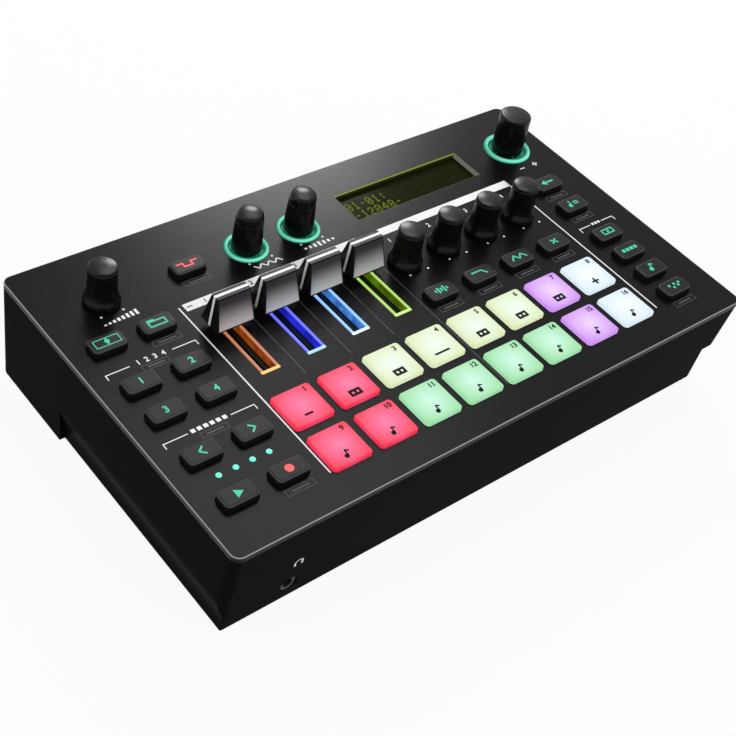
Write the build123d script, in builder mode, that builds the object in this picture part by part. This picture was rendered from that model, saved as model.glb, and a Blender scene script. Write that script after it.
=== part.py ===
"""A compact desktop groovebox: panel, case, boards, knobs, faders, pads and keys, in millimetres.

The origin lies under the middle of the case, where it stands; +X is right, +Y is the rear, +Z is up.
"""
import os
from build123d import *

os.makedirs("parts", exist_ok=True)

# Clearances shared by all pieces
seat_gap = 0.05          # between a part and the board or bore it is fixed in
shaft_gap = 0.05         # radial gap of a shaft in its bore
guide_gap = 0.3          # round a key in its opening
rest_gap = 0.3           # between a key's flange and the panel above it
guide_fit = 0.1          # round a light guide or foot in its opening
socket_gap = 0.3         # round a socket in its wall
press_margin = 0.2       # left under a key or plunger that is pushed right down
overrun = 2.0            # how far a ring cut runs past the face it opens

# Panel layout across, from the left edge to the right one
left_margin = 7.4
key_length = 12.0
left_column_gap = 6.3
left_section_gap = 6.2
pad_size = 15.0
pad_gap = 3.45
pad_columns = 8
right_section_gap = 9.65
right_margin = 14.3
value_offset = 2.8
window_width = 60.3
light_offset = 0.4
light_pitch = 6.07
light_count = 4
fader_shift = 1.2

# Panel layout in depth, from the front edge to the rear one
front_margin = 11.5
pad_row_gap = 3.95
function_gap = 7.75
key_width = 6.9
control_gap = 9.55
skirt_radius = 6.3
display_gap = 19.6
window_depth = 15.4
rear_margin = 15.75
play_margin = 15.05
light_row_gap = 6.6
measure_gap = 11.6
track_front_gap = 12.2
track_gap = 6.9
project_gap = 12.8
mode_margin = 13.45
mode_gap = 4.5
tempo_gap = 11.7
exit_gap = 7.3
knob_row_drop = 1.0

# Places across the panel, in column pitches from the first pad column or the first key column
effect_key_share = 0.24
effect_knob_shares = (1.556, 2.773)
window_share = 5.626
volume_share = 0.52

pad_pitch = pad_size + pad_gap
pad_row_pitch = pad_size + pad_row_gap
pad_field = pad_columns * pad_pitch - pad_gap
column_pitch = key_length + left_column_gap
panel_width = (left_margin + key_length + column_pitch + left_section_gap + pad_field
               + right_section_gap + key_length + right_margin)
panel_depth = (front_margin + pad_size + pad_row_pitch + function_gap + key_width + control_gap
               + 2 * skirt_radius + display_gap + window_depth + rear_margin)
front_edge = -panel_depth / 2
rear_edge = panel_depth / 2

first_column = -panel_width / 2 + left_margin + key_length / 2
second_column = first_column + column_pitch
first_pad = second_column + key_length / 2 + left_section_gap + pad_size / 2
pad_xs = [first_pad + column * pad_pitch for column in range(pad_columns)]
right_column = pad_xs[-1] + pad_size / 2 + right_section_gap + key_length / 2
window_x = first_pad + window_share * pad_pitch
value_x = right_column + value_offset
volume_x = first_column + volume_share * column_pitch
effect_key_x = first_pad + effect_key_share * pad_pitch
effect_xs = [first_pad + share * pad_pitch for share in effect_knob_shares]

pad_front_row = front_edge + front_margin + pad_size / 2
pad_back_row = pad_front_row + pad_row_pitch
function_row = pad_back_row + pad_size / 2 + function_gap + key_width / 2
control_row = function_row + key_width / 2 + control_gap + skirt_radius
window_y = control_row + skirt_radius + display_gap + window_depth / 2
knob_row = window_y - knob_row_drop
play_row = front_edge + play_margin + key_width / 2
light_row = play_row + key_width / 2 + light_row_gap
measure_row = play_row + key_width + measure_gap
track_front_row = measure_row + key_width + track_front_gap
track_back_row = track_front_row + key_width + track_gap
project_row = track_back_row + key_width + project_gap
scatter_row = front_edge + mode_margin + key_width / 2
note_row = scatter_row + key_width + mode_gap
sequence_row = note_row + key_width + mode_gap
clip_row = sequence_row + key_width + mode_gap
tempo_row = clip_row + key_width + tempo_gap
exit_row = tempo_row + key_width + exit_gap

key_places = {
    "shift_button": (first_column, project_row),
    "project_button": (second_column, project_row),
    "track_button_1": (first_column, track_back_row),
    "track_button_2": (second_column, track_back_row),
    "track_button_3": (first_column, track_front_row),
    "track_button_4": (second_column, track_front_row),
    "measure_back_button": (first_column, measure_row),
    "measure_forward_button": (second_column, measure_row),
    "play_button": (first_column, play_row),
    "record_button": (second_column, play_row),
    "effect_button": (effect_key_x, knob_row),
    "sound_button": (pad_xs[4], function_row),
    "filter_button": (pad_xs[5], function_row),
    "modulation_button": (pad_xs[6], function_row),
    "effect_send_button": (pad_xs[7], function_row),
    "exit_button": (right_column, exit_row),
    "tempo_button": (right_column, tempo_row),
    "clip_button": (right_column, clip_row),
    "sequence_button": (right_column, sequence_row),
    "note_button": (right_column, note_row),
    "scatter_button": (right_column, scatter_row),
}
pad_places = [(x, y) for y in (pad_back_row, pad_front_row) for x in pad_xs]
skirted_places = {"volume_knob": (volume_x, knob_row)}
for number, x in enumerate(pad_xs[4:], start=1):
    skirted_places[f"control_knob_{number}"] = (x, control_row)
effect_places = {f"effect_knob_{number}": (x, knob_row) for number, x in enumerate(effect_xs, start=1)}
value_place = (value_x, window_y)
light_places = [(first_column + light_offset + step * light_pitch, light_row) for step in range(light_count)]
fader_xs = [x + fader_shift for x in pad_xs[:4]]

# Heights, from the surface that the feet stand on
foot_height = 0.8
case_height = 38.9
panel_thickness = 2.0
band_depth = 24.7
ledge_depth = 23.5
case_bottom = foot_height
case_top = case_bottom + case_height
panel_top = case_top + panel_thickness
band_height = panel_top - band_depth
ledge_height = panel_top - ledge_depth

# Case and panel
wall = 2.4
floor = 2.4
front_lean = 4.6
side_inset = 2.05
cove_height = 12.0
right_inset = 7.7
right_foot_inset = 5.6
rear_block = 38.5
corner_radius = 3.3
bottom_edge_radius = 0.5
panel_edge_radius = 0.6
lip_height = 2.0
lip_width = 1.2
floor_top = case_bottom + floor
shelf_top = ledge_height + wall
rear_inner = rear_edge - wall
rear_plane = Plane.XZ.offset(-rear_edge)


def front_at(height):
    """The front wall leans back towards the bottom: its outer face at a height."""
    return front_edge + front_lean * (panel_top - height) / (panel_top - case_bottom)


def standing(edges):
    """The edges that run up the walls, straight or leaning."""
    return edges.filter_by(lambda edge: abs((edge % 0.5).Z) > abs((edge % 0.5).X) + abs((edge % 0.5).Y))


def upright_plane(x, y):
    """A plane for a turned profile: radius across, height above the panel up."""
    return Plane((x, y, panel_top), x_dir=(1, 0, 0), z_dir=(0, -1, 0))


lip_front = front_at(case_top - lip_height) + wall + guide_gap
lip_rear = rear_inner - guide_gap
lip_span = panel_width - 2 * wall - 2 * guide_gap

# Keys and pads, each with a flange under the panel
key_rise = 2.6
key_travel = 0.8
key_corner = 1.6
key_edge_radius = 0.8
flange_reach = 1.0
flange_thickness = 1.0
pad_rise = 1.2
pad_corner = 1.3
pad_edge_radius = 0.5
flange_top = case_top - rest_gap
flange_bottom = flange_top - flange_thickness

# Main board: a switch's top is where a pressed key ends
board_thickness = 1.6
board_gap = 1.5
switch_size = 6.0
switch_height = 3.4
sensor_size = 10.0
sensor_height = 2.4
pot_width = 11.0
pot_height = 4.2
part_base = flange_bottom - key_travel - press_margin - switch_height
board_top = part_base - seat_gap
board_bottom = board_top - board_thickness
board_width = panel_width - 2 * wall - 2 * board_gap
board_front = front_at(board_bottom) + wall + board_gap
board_rear = rear_inner - board_gap
pot_top = part_base + pot_height

# Knobs, with heights above the panel
shaft_radius = 3.0
shaft_seat = 2.4
shaft_hole_gap = 0.6
knob_gap = 0.8
skirted_height = 15.3
skirt_lip = 1.1
skirt_height = 4.5
body_radius = 5.1
cap_radius = 4.75
skirted_dome = 0.75
effect_height = 16.4
effect_base_radius = 5.5
effect_cap_radius = 4.65
effect_dome = 1.9
value_radius = 6.2
value_height = 16.5
value_dome = 0.8
groove_drop = 4.0
groove_width = 0.4
groove_depth = 0.25
bore_cover = 4.0
plunger_height = 1.0
push_travel = 0.5
encoder_base = 0.8
bore_radius = shaft_radius + shaft_gap
shaft_foot = pot_top - shaft_seat + press_margin
plunger_foot = part_base + encoder_base + press_margin + push_travel

# Lit rings and beat lights
ring_gap = 0.9
ring_width = 1.55
ring_rise = 0.9
value_ring_gap = 1.3
value_ring_width = 1.9
light_radius = 1.0
light_rise = 0.2
guide_flange = 0.9
effect_ring_radius = effect_base_radius + ring_gap + ring_width
value_ring_radius = value_radius + value_ring_gap + value_ring_width
guide_bottom = case_top - guide_flange

# Faders: the caps rest at the rear end of their lit slots
fader_travel = 20.0
fader_offset = 4.3
lever_width = 1.2
lever_length = 3.0
lever_gap = 0.5
slot_end = 1.95
lever_grip = 6.0
bezel_width = 7.2
bezel_wall = 1.2
bezel_rise = 0.3
bezel_corner = 0.6
cap_lift = 2.4
cap_width = 14.8
cap_depth = 9.9
cap_top_width = 12.8
cap_top_depth = 3.6
cap_height = 11.7
cap_corner = 0.8
cap_edge_radius = 0.5
slide_pot_width = 8.4
slide_pot_height = 4.2
slide_pot_end = 5.0
fader_rear = control_row + fader_offset
slot_length = fader_travel + lever_length + 2 * slot_end
bezel_length = slot_length + 2 * bezel_wall
bezel_places = [(x, fader_rear - fader_travel / 2) for x in fader_xs]
lever_foot = part_base + slide_pot_height / 2
cap_base = panel_top + bezel_rise + cap_lift

# Display under its window
glass_margin = 2.2
glass_thickness = 1.1
glass_drop = 0.1
backlight_margin = 4.0
backlight_thickness = 2.8
glass_bottom = case_top - glass_drop - glass_thickness

# Screws in deep wells, and feet
screw_side = 9.5
screw_rear_inset = 9.5
screw_middle_inset = 46.5
screw_front_inset = 9.5
boss_radius = 3.0
post_radius = 4.0
screw_radius = 1.4
screw_hole = 1.6
screw_bite = 4.5
head_radius = 2.6
head_height = 2.0
head_slot = 0.8
well_radius = 2.9
well_web = 5.0
screw_places = [(x, y) for x in (screw_side - panel_width / 2, panel_width / 2 - screw_side)
                for y in (rear_edge - screw_rear_inset, front_edge + screw_middle_inset,
                          front_edge + screw_front_inset)]
screw_seat = board_bottom - well_web
foot_radius = 7.0
foot_seat = 0.6
foot_edge_radius = 0.3
foot_side = 28.0
foot_front_inset = 19.0
foot_rear_inset = 13.0
foot_places = [(x, y) for x in (foot_side - panel_width / 2, panel_width / 2 - foot_side)
               for y in (front_edge + foot_front_inset, rear_edge - foot_rear_inset)]

# Battery bay for four cells side by side, closed by a door that swings down
cell_pitch = 15.0
cell_count = 4
bay_length = 57.0
bay_depth = 16.0
bay_wall = 2.0
bay_clear = 5.0
door_thickness = 2.0
door_reach = 1.8
door_gap = 0.3
door_grip_width = 14.0
door_grip_length = 5.0
door_grip_depth = 0.8
contact_thickness = 0.4
contact_width = 12.0
contact_height = 10.0
contact_lift = 3.0
bay_width = cell_count * cell_pitch
cell_xs = [(cell + 0.5) * cell_pitch - bay_width / 2 for cell in range(cell_count)]
door_width = bay_width + 2 * door_reach
door_length = bay_length + 2 * door_reach
bay_y = rear_edge - rear_block - bay_clear - bay_length / 2
bay_floor = case_bottom + door_thickness + door_gap
bay_top = bay_floor + bay_depth

# Rear sockets on their own board, with places across as shares of the panel's width
io_board_lift = 5.0
io_board_width = 180.0
io_board_depth = 27.0
io_board_inset = 1.0
io_post_radius = 3.0
io_post_shares = (-0.42, -0.1, 0.42)
face_recess = 0.2
jack_radius = 3.25
jack_bore = 24.0
jack_barrel = 4.6
jack_width = 14.0
jack_height = 12.0
jack_length = 25.0
jack_shares = (-0.25, -0.36)
din_radius = 7.6
din_width = 19.0
din_height = 18.0
din_length = 14.0
din_pin_radius = 0.9
din_pin_circle = 4.8
din_pin_count = 5
din_pin_turn = 180.0
din_pin_depth = 6.0
din_shares = (0.01, -0.12)
usb_width = 8.0
usb_height = 3.0
usb_length = 6.0
usb_mouth_width = 6.9
usb_mouth_height = 1.9
usb_mouth_depth = 4.5
usb_share = 0.27
card_width = 27.0
card_height = 3.4
card_length = 22.0
card_mouth_width = 24.5
card_mouth_height = 2.3
card_mouth_depth = 18.0
card_share = 0.165
power_width = 4.0
power_height = 3.0
power_travel = 4.0
power_gap = 0.4
power_stem = 3.0
power_pocket = 1.2
power_margin = 2.0
power_body_depth = 6.0
power_body_height = 7.0
power_body_end = 4.0
power_share = 0.37
socket_face = rear_edge - face_recess
socket_back = rear_inner - socket_gap
face_plane = Plane.XZ.offset(-socket_face)
socket_plane = Plane.XZ.offset(-socket_back)
io_top = floor_top + io_board_lift + board_thickness
io_base = io_top + seat_gap
io_y = rear_inner - io_board_inset - io_board_depth / 2
io_post_places = [(share * io_board_width, io_y) for share in io_post_shares]
jack_places = [(share * panel_width, io_base + jack_height / 2) for share in jack_shares]
din_places = [(share * panel_width, io_base + din_height / 2) for share in din_shares]
usb_place = (usb_share * panel_width, io_base + usb_height / 2)
card_place = (card_share * panel_width, io_base + card_height / 2)
power_x = power_share * panel_width
power_z = io_base + power_body_height / 2
power_place = (power_x, power_z)
power_slot = power_width + power_travel + 2 * power_gap

# Headphone socket in the front wall
phones_share = -0.384
phones_drop = 33.2
phones_radius = 1.8
phones_bore = 14.0
phones_barrel = 3.0
phones_width = 8.0
phones_height = 7.0
phones_length = 13.0
phones_x = phones_share * panel_width
phones_z = panel_top - phones_drop
phones_face = front_at(phones_z - phones_barrel) + face_recess
phones_back = front_at(phones_z - phones_height / 2) + wall + socket_gap

# Top panel: a plate with all its openings, a locating lip and screw bosses underneath
with BuildPart() as top_panel:
    with BuildSketch(Plane.XY.offset(case_top)):
        RectangleRounded(panel_width, panel_depth, corner_radius)
    extrude(amount=panel_thickness)
    fillet(top_panel.faces().sort_by(Axis.Z)[-1].edges(), panel_edge_radius)
    with BuildSketch(Plane.XY.offset(case_top)):
        with Locations((0, (lip_front + lip_rear) / 2)):
            Rectangle(lip_span, lip_rear - lip_front)
            Rectangle(lip_span - 2 * lip_width, lip_rear - lip_front - 2 * lip_width, mode=Mode.SUBTRACT)
    extrude(amount=-lip_height)
    with BuildSketch(Plane.XY.offset(board_top)):
        with Locations(*screw_places):
            Circle(boss_radius)
    extrude(amount=case_top - board_top)
    with BuildSketch(Plane.XY.offset(board_top)):
        with Locations(*screw_places):
            Circle(screw_radius + shaft_gap)
    extrude(amount=screw_bite, mode=Mode.SUBTRACT)
    with BuildSketch(Plane.XY.offset(panel_top)):
        with Locations(*key_places.values()):
            RectangleRounded(key_length + 2 * guide_gap, key_width + 2 * guide_gap, key_corner + guide_gap)
        with Locations(*pad_places):
            RectangleRounded(pad_size + 2 * guide_gap, pad_size + 2 * guide_gap, pad_corner + guide_gap)
        with Locations(*skirted_places.values()):
            Circle(shaft_radius + shaft_hole_gap)
        with Locations(*effect_places.values()):
            Circle(effect_ring_radius + guide_fit)
        with Locations(value_place):
            Circle(value_ring_radius + guide_fit)
        with Locations(*bezel_places):
            RectangleRounded(bezel_width + 2 * guide_fit, bezel_length + 2 * guide_fit, bezel_corner)
        with Locations(*light_places):
            Circle(light_radius + guide_fit)
        with Locations((window_x, window_y)):
            Rectangle(window_width, window_depth)
    extrude(amount=-panel_thickness, mode=Mode.SUBTRACT)
top_panel.part.label = "top_panel"
export_step(top_panel.part, "parts/top_panel.step")

# Lower case: a leaning front, a full-width rear block, a left wall that curves in below a band
# and a right wall that is set in under a ledge
with BuildPart() as lower_case:
    with BuildSketch(Plane.YZ):
        with BuildLine():
            Polyline((front_at(case_top), case_top), (rear_edge, case_top), (rear_edge, case_bottom),
                     (front_at(case_bottom), case_bottom), close=True)
        make_face()
    extrude(amount=panel_width / 2, both=True)
    fillet(standing(lower_case.edges()), corner_radius)
    with BuildSketch(Plane.XZ.offset(rear_block - rear_edge)):
        with BuildLine():
            shoulder = TangentArc((-panel_width / 2, band_height),
                                  ((side_inset - panel_width) / 2, band_height - cove_height / 2),
                                  tangent=(0, -1))
            cove = TangentArc(shoulder @ 1, (side_inset - panel_width / 2, band_height - cove_height),
                              tangent=shoulder % 1)
            Polyline(cove @ 1, (side_inset - panel_width / 2, case_bottom), (-panel_width / 2, case_bottom),
                     (-panel_width / 2, band_height))
        make_face()
        with BuildLine():
            Polyline((panel_width / 2, ledge_height), (panel_width / 2, case_bottom),
                     (panel_width / 2 - right_foot_inset, case_bottom),
                     (panel_width / 2 - right_inset, ledge_height), close=True)
        make_face()
    extrude(amount=panel_depth, mode=Mode.SUBTRACT)
    fillet(lower_case.faces().sort_by(Axis.Z)[0].edges(), bottom_edge_radius)

    # The hollow: wide above the ledge, narrower below it, wide again in the rear block
    with BuildSketch(Plane.YZ):
        with BuildLine():
            Polyline((front_at(case_top) + wall, case_top), (rear_inner, case_top), (rear_inner, shelf_top),
                     (front_at(shelf_top) + wall, shelf_top), close=True)
        make_face()
    extrude(amount=panel_width / 2 - wall, both=True, mode=Mode.SUBTRACT)
    with BuildSketch(Plane.YZ.offset(side_inset + wall - panel_width / 2)):
        with BuildLine():
            Polyline((front_at(shelf_top) + wall, shelf_top), (rear_inner, shelf_top),
                     (rear_inner, floor_top), (front_at(floor_top) + wall, floor_top), close=True)
        make_face()
    extrude(amount=panel_width - side_inset - right_inset - 2 * wall, mode=Mode.SUBTRACT)
    with BuildSketch(Plane.XY.offset(floor_top)):
        with Locations((0, rear_inner - (rear_block - 2 * wall) / 2)):
            Rectangle(panel_width - 2 * wall, rear_block - 2 * wall)
    extrude(amount=shelf_top - floor_top, mode=Mode.SUBTRACT)

    # Battery bay, screw posts and the posts of the socket board stand on the floor
    with BuildSketch(Plane.XY.offset(case_bottom)):
        with Locations((0, bay_y)):
            Rectangle(door_width + 2 * door_gap + 2 * bay_wall, door_length + 2 * door_gap + 2 * bay_wall)
    extrude(amount=bay_top + bay_wall - case_bottom)
    with BuildSketch(Plane.XY.offset(floor_top)):
        with Locations(*screw_places):
            Circle(post_radius)
    extrude(amount=board_bottom - floor_top)
    with BuildSketch(Plane.XY.offset(floor_top)):
        with Locations(*io_post_places):
            Circle(io_post_radius)
    extrude(amount=io_board_lift)

    # Cuts from below: bay, door pocket, screw wells and foot seats
    with BuildSketch(Plane.XY.offset(case_bottom)):
        with Locations((0, bay_y)):
            Rectangle(bay_width, bay_length)
    extrude(amount=bay_top - case_bottom, mode=Mode.SUBTRACT)
    with BuildSketch(Plane.XY.offset(case_bottom)):
        with Locations((0, bay_y)):
            Rectangle(door_width + 2 * door_gap, door_length + 2 * door_gap)
    extrude(amount=bay_floor - case_bottom, mode=Mode.SUBTRACT)
    with BuildSketch(Plane.XY.offset(case_bottom)):
        with Locations(*screw_places):
            Circle(well_radius)
    extrude(amount=screw_seat - case_bottom, mode=Mode.SUBTRACT)
    with BuildSketch(Plane.XY.offset(screw_seat)):
        with Locations(*screw_places):
            Circle(screw_hole)
    extrude(amount=board_bottom - screw_seat, mode=Mode.SUBTRACT)
    with BuildSketch(Plane.XY.offset(case_bottom)):
        with Locations(*foot_places):
            Circle(foot_radius + guide_fit)
    extrude(amount=foot_seat, mode=Mode.SUBTRACT)

    # Openings in the rear wall for the sockets and the power switch, and one in front for the headphones
    with BuildSketch(rear_plane):
        with Locations(*jack_places):
            Circle(jack_barrel + socket_gap)
        with Locations(*din_places):
            Circle(din_radius + socket_gap)
        with Locations(usb_place):
            Rectangle(usb_width + 2 * socket_gap, usb_height + 2 * socket_gap)
        with Locations(card_place):
            Rectangle(card_width + 2 * socket_gap, card_height + 2 * socket_gap)
        with Locations(power_place):
            Rectangle(power_slot, power_height + 2 * power_gap)
    extrude(amount=wall, mode=Mode.SUBTRACT)
    with BuildSketch(rear_plane):
        with Locations(power_place):
            Rectangle(power_slot + 2 * power_margin, power_height + 2 * power_gap + 2 * power_margin)
    extrude(amount=power_pocket, mode=Mode.SUBTRACT)
    with BuildSketch(Plane.XZ.offset(-phones_back)):
        with Locations((phones_x, phones_z)):
            Circle(phones_barrel + socket_gap)
    extrude(amount=phones_back - front_edge, mode=Mode.SUBTRACT)
lower_case.part.label = "lower_case"
export_step(lower_case.part, "parts/lower_case.step")

# Main board: the plate and every switch, pot, encoder, slide pot and pad sensor soldered to it
with BuildPart() as main_board:
    with BuildSketch(Plane.XY.offset(board_bottom)):
        with Locations((0, (board_front + board_rear) / 2)):
            Rectangle(board_width, board_rear - board_front)
        with Locations(*screw_places):
            Circle(screw_hole, mode=Mode.SUBTRACT)
    extrude(amount=board_thickness)
    with BuildSketch(Plane.XY.offset(part_base)):
        with Locations(*key_places.values()):
            Rectangle(switch_size, switch_size)
    extrude(amount=switch_height)
    with BuildSketch(Plane.XY.offset(part_base)):
        with Locations(*pad_places):
            RectangleRounded(sensor_size, sensor_size, pad_corner)
    extrude(amount=sensor_height)
    with BuildSketch(Plane.XY.offset(part_base)):
        with Locations(*skirted_places.values(), *effect_places.values(), value_place):
            Rectangle(pot_width, pot_width)
    extrude(amount=pot_height)
    with BuildSketch(Plane.XY.offset(pot_top)):
        with Locations(*skirted_places.values(), *effect_places.values()):
            Circle(bore_radius)
    extrude(amount=-shaft_seat, mode=Mode.SUBTRACT)
    with BuildSketch(Plane.XY.offset(pot_top)):
        with Locations(value_place):
            Circle(bore_radius)
    extrude(amount=plunger_foot - push_travel - press_margin - pot_top, mode=Mode.SUBTRACT)
    with BuildSketch(Plane.XY.offset(part_base)):
        with Locations(*bezel_places):
            Rectangle(slide_pot_width, slot_length + 2 * slide_pot_end)
    extrude(amount=slide_pot_height)
    with BuildSketch(Plane.XY.offset(lever_foot - lever_gap)):
        with Locations(*bezel_places):
            Rectangle(lever_width + 2 * guide_gap, slot_length)
    extrude(amount=slide_pot_height, mode=Mode.SUBTRACT)
main_board.part.label = "main_board"
export_step(main_board.part, "parts/main_board.step")

# Display: a glass plate under the panel's window, on a backlight
with BuildPart() as display_module:
    with BuildSketch(Plane.XY.offset(glass_bottom)):
        with Locations((window_x, window_y)):
            Rectangle(window_width + 2 * glass_margin, window_depth + 2 * glass_margin)
    extrude(amount=glass_thickness)
    with BuildSketch(Plane.XY.offset(glass_bottom - seat_gap)):
        with Locations((window_x, window_y)):
            Rectangle(window_width + 2 * backlight_margin, window_depth + 2 * backlight_margin)
    extrude(amount=-backlight_thickness)
display_module.part.label = "display_module"
export_step(display_module.part, "parts/display_module.step")

# Light guides: rings round three knobs, bezels round the fader slots and four beat lights
with BuildPart() as light_guides:
    with BuildSketch(Plane.XY.offset(guide_bottom)):
        with Locations(*effect_places.values()):
            Circle(effect_ring_radius + guide_flange)
            Circle(effect_ring_radius - ring_width, mode=Mode.SUBTRACT)
        with Locations(value_place):
            Circle(value_ring_radius + guide_flange)
            Circle(value_ring_radius - value_ring_width, mode=Mode.SUBTRACT)
        with Locations(*bezel_places):
            Rectangle(bezel_width + 2 * guide_flange, bezel_length + 2 * guide_flange)
            Rectangle(bezel_width - 2 * bezel_wall, slot_length, mode=Mode.SUBTRACT)
        with Locations(*light_places):
            Circle(light_radius + guide_flange)
    extrude(amount=guide_flange)
    with BuildSketch(Plane.XY.offset(case_top)):
        with Locations(*effect_places.values()):
            Circle(effect_ring_radius)
            Circle(effect_ring_radius - ring_width, mode=Mode.SUBTRACT)
        with Locations(value_place):
            Circle(value_ring_radius)
            Circle(value_ring_radius - value_ring_width, mode=Mode.SUBTRACT)
    extrude(amount=panel_thickness + ring_rise)
    with BuildSketch(Plane.XY.offset(case_top)):
        with Locations(*bezel_places):
            RectangleRounded(bezel_width, bezel_length, bezel_corner)
            Rectangle(bezel_width - 2 * bezel_wall, slot_length, mode=Mode.SUBTRACT)
    extrude(amount=panel_thickness + bezel_rise)
    with BuildSketch(Plane.XY.offset(case_top)):
        with Locations(*light_places):
            Circle(light_radius)
    extrude(amount=panel_thickness + light_rise)
light_guides.part.label = "light_guides"
export_step(light_guides.part, "parts/light_guides.step")

# Sockets: a board with two jacks, two DIN sockets, USB, card slot and power switch body,
# the headphone socket in front, and the contacts of the battery bay
with BuildPart() as connectors:
    with BuildSketch(Plane.XY.offset(io_top - board_thickness)):
        with Locations((0, io_y)):
            Rectangle(io_board_width, io_board_depth)
    extrude(amount=board_thickness)
    with BuildSketch(socket_plane):
        with Locations(*jack_places):
            Rectangle(jack_width, jack_height)
    extrude(amount=jack_length)
    with BuildSketch(face_plane):
        with Locations(*jack_places):
            Circle(jack_barrel)
    extrude(amount=socket_face - socket_back)
    with BuildSketch(face_plane):
        with Locations(*jack_places):
            Circle(jack_radius)
    extrude(amount=jack_bore, mode=Mode.SUBTRACT)
    with BuildSketch(socket_plane):
        with Locations(*din_places):
            Rectangle(din_width, din_height)
    extrude(amount=din_length)
    with BuildSketch(face_plane):
        with Locations(*din_places):
            Circle(din_radius)
    extrude(amount=socket_face - socket_back)
    with BuildSketch(face_plane):
        for place in din_places:
            with Locations(place):
                with PolarLocations(din_pin_circle, din_pin_count, 0, din_pin_turn, endpoint=True):
                    Circle(din_pin_radius)
    extrude(amount=din_pin_depth, mode=Mode.SUBTRACT)
    with BuildSketch(face_plane):
        with Locations(usb_place):
            Rectangle(usb_width, usb_height)
    extrude(amount=usb_length)
    with BuildSketch(face_plane):
        with Locations(usb_place):
            Rectangle(usb_mouth_width, usb_mouth_height)
    extrude(amount=usb_mouth_depth, mode=Mode.SUBTRACT)
    with BuildSketch(face_plane):
        with Locations(card_place):
            Rectangle(card_width, card_height)
    extrude(amount=card_length)
    with BuildSketch(face_plane):
        with Locations(card_place):
            Rectangle(card_mouth_width, card_mouth_height)
    extrude(amount=card_mouth_depth, mode=Mode.SUBTRACT)
    with BuildSketch(socket_plane):
        with Locations(power_place):
            Rectangle(power_slot + 2 * power_body_end, power_body_height)
    extrude(amount=power_body_depth)
    with BuildSketch(socket_plane):
        with Locations(power_place):
            Rectangle(power_slot, power_height + 2 * power_gap)
    extrude(amount=power_stem + power_gap, mode=Mode.SUBTRACT)
    with BuildSketch(Plane.XZ.offset(-phones_back)):
        with Locations((phones_x, phones_z)):
            Rectangle(phones_width, phones_height)
    extrude(amount=-phones_length)
    with BuildSketch(Plane.XZ.offset(-phones_back)):
        with Locations((phones_x, phones_z)):
            Circle(phones_barrel)
    extrude(amount=phones_back - phones_face)
    with BuildSketch(Plane.XZ.offset(-phones_face)):
        with Locations((phones_x, phones_z)):
            Circle(phones_radius)
    extrude(amount=-phones_bore, mode=Mode.SUBTRACT)
    with BuildSketch(Plane.XY.offset(bay_floor + contact_lift)):
        with Locations(*[(x, bay_y + end * (bay_length / 2 - seat_gap - contact_thickness / 2))
                         for x in cell_xs for end in (-1, 1)]):
            Rectangle(contact_width, contact_thickness)
    extrude(amount=contact_height)
connectors.part.label = "connectors"
export_step(connectors.part, "parts/connectors.step")

# Screws from below, driven through the posts and the board into the panel's bosses
with BuildPart() as screws:
    with BuildSketch(Plane.XY.offset(screw_seat - seat_gap)):
        with Locations(*screw_places):
            Circle(head_radius)
    extrude(amount=-head_height)
    with BuildSketch(Plane.XY.offset(screw_seat - seat_gap)):
        with Locations(*screw_places):
            Circle(screw_radius)
    extrude(amount=board_top + screw_bite - press_margin - screw_seat + seat_gap)
    with BuildSketch(Plane.XY.offset(screw_seat - seat_gap - head_height)):
        with Locations(*screw_places):
            Rectangle(2 * screw_radius, head_slot)
            Rectangle(head_slot, 2 * screw_radius)
    extrude(amount=head_height / 2, mode=Mode.SUBTRACT)
screws.part.label = "screws"
export_step(screws.part, "parts/screws.step")

# Feet: rubber discs set into the underside
with BuildPart() as feet:
    with BuildSketch(Plane.XY):
        with Locations(*foot_places):
            Circle(foot_radius)
    extrude(amount=foot_height + foot_seat - seat_gap)
    fillet(feet.edges().group_by(Axis.Z)[0], foot_edge_radius)
feet.part.label = "feet"
export_step(feet.part, "parts/feet.step")

# Battery door: a plate with a finger recess, hung on its front edge
with BuildPart() as battery_door:
    with BuildSketch(Plane.XY.offset(case_bottom)):
        with Locations((0, bay_y)):
            Rectangle(door_width, door_length)
    extrude(amount=door_thickness)
    with BuildSketch(Plane.XY.offset(case_bottom)):
        with Locations((0, bay_y + door_length / 2 - door_grip_length)):
            RectangleRounded(door_grip_width, door_grip_length, key_corner)
    extrude(amount=door_grip_depth, mode=Mode.SUBTRACT)
battery_door.part.label = "battery_door"
export_step(battery_door.part, "parts/battery_door.step")

# Power switch: the slider of the rear switch, resting at its off end
with BuildPart() as power_switch:
    with BuildSketch(Plane.XZ.offset(-socket_face)):
        with Locations((power_x - power_travel / 2, power_z)):
            Rectangle(power_width, power_height)
    extrude(amount=socket_face - socket_back + power_stem)
power_switch.part.label = "power_switch"
export_step(power_switch.part, "parts/power_switch.step")

# Keys: a cap through the panel and a flange that keeps it in
for name, (x, y) in key_places.items():
    with BuildPart() as key:
        with BuildSketch(Plane((x, y, flange_bottom))):
            RectangleRounded(key_length, key_width, key_corner)
        extrude(amount=panel_top + key_rise - flange_bottom)
        fillet(key.faces().sort_by(Axis.Z)[-1].edges(), key_edge_radius)
        with BuildSketch(Plane((x, y, flange_bottom))):
            Rectangle(key_length + 2 * flange_reach, key_width + 2 * flange_reach)
        extrude(amount=flange_thickness)
    key.part.label = name
    export_step(key.part, f"parts/{name}.step")

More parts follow.
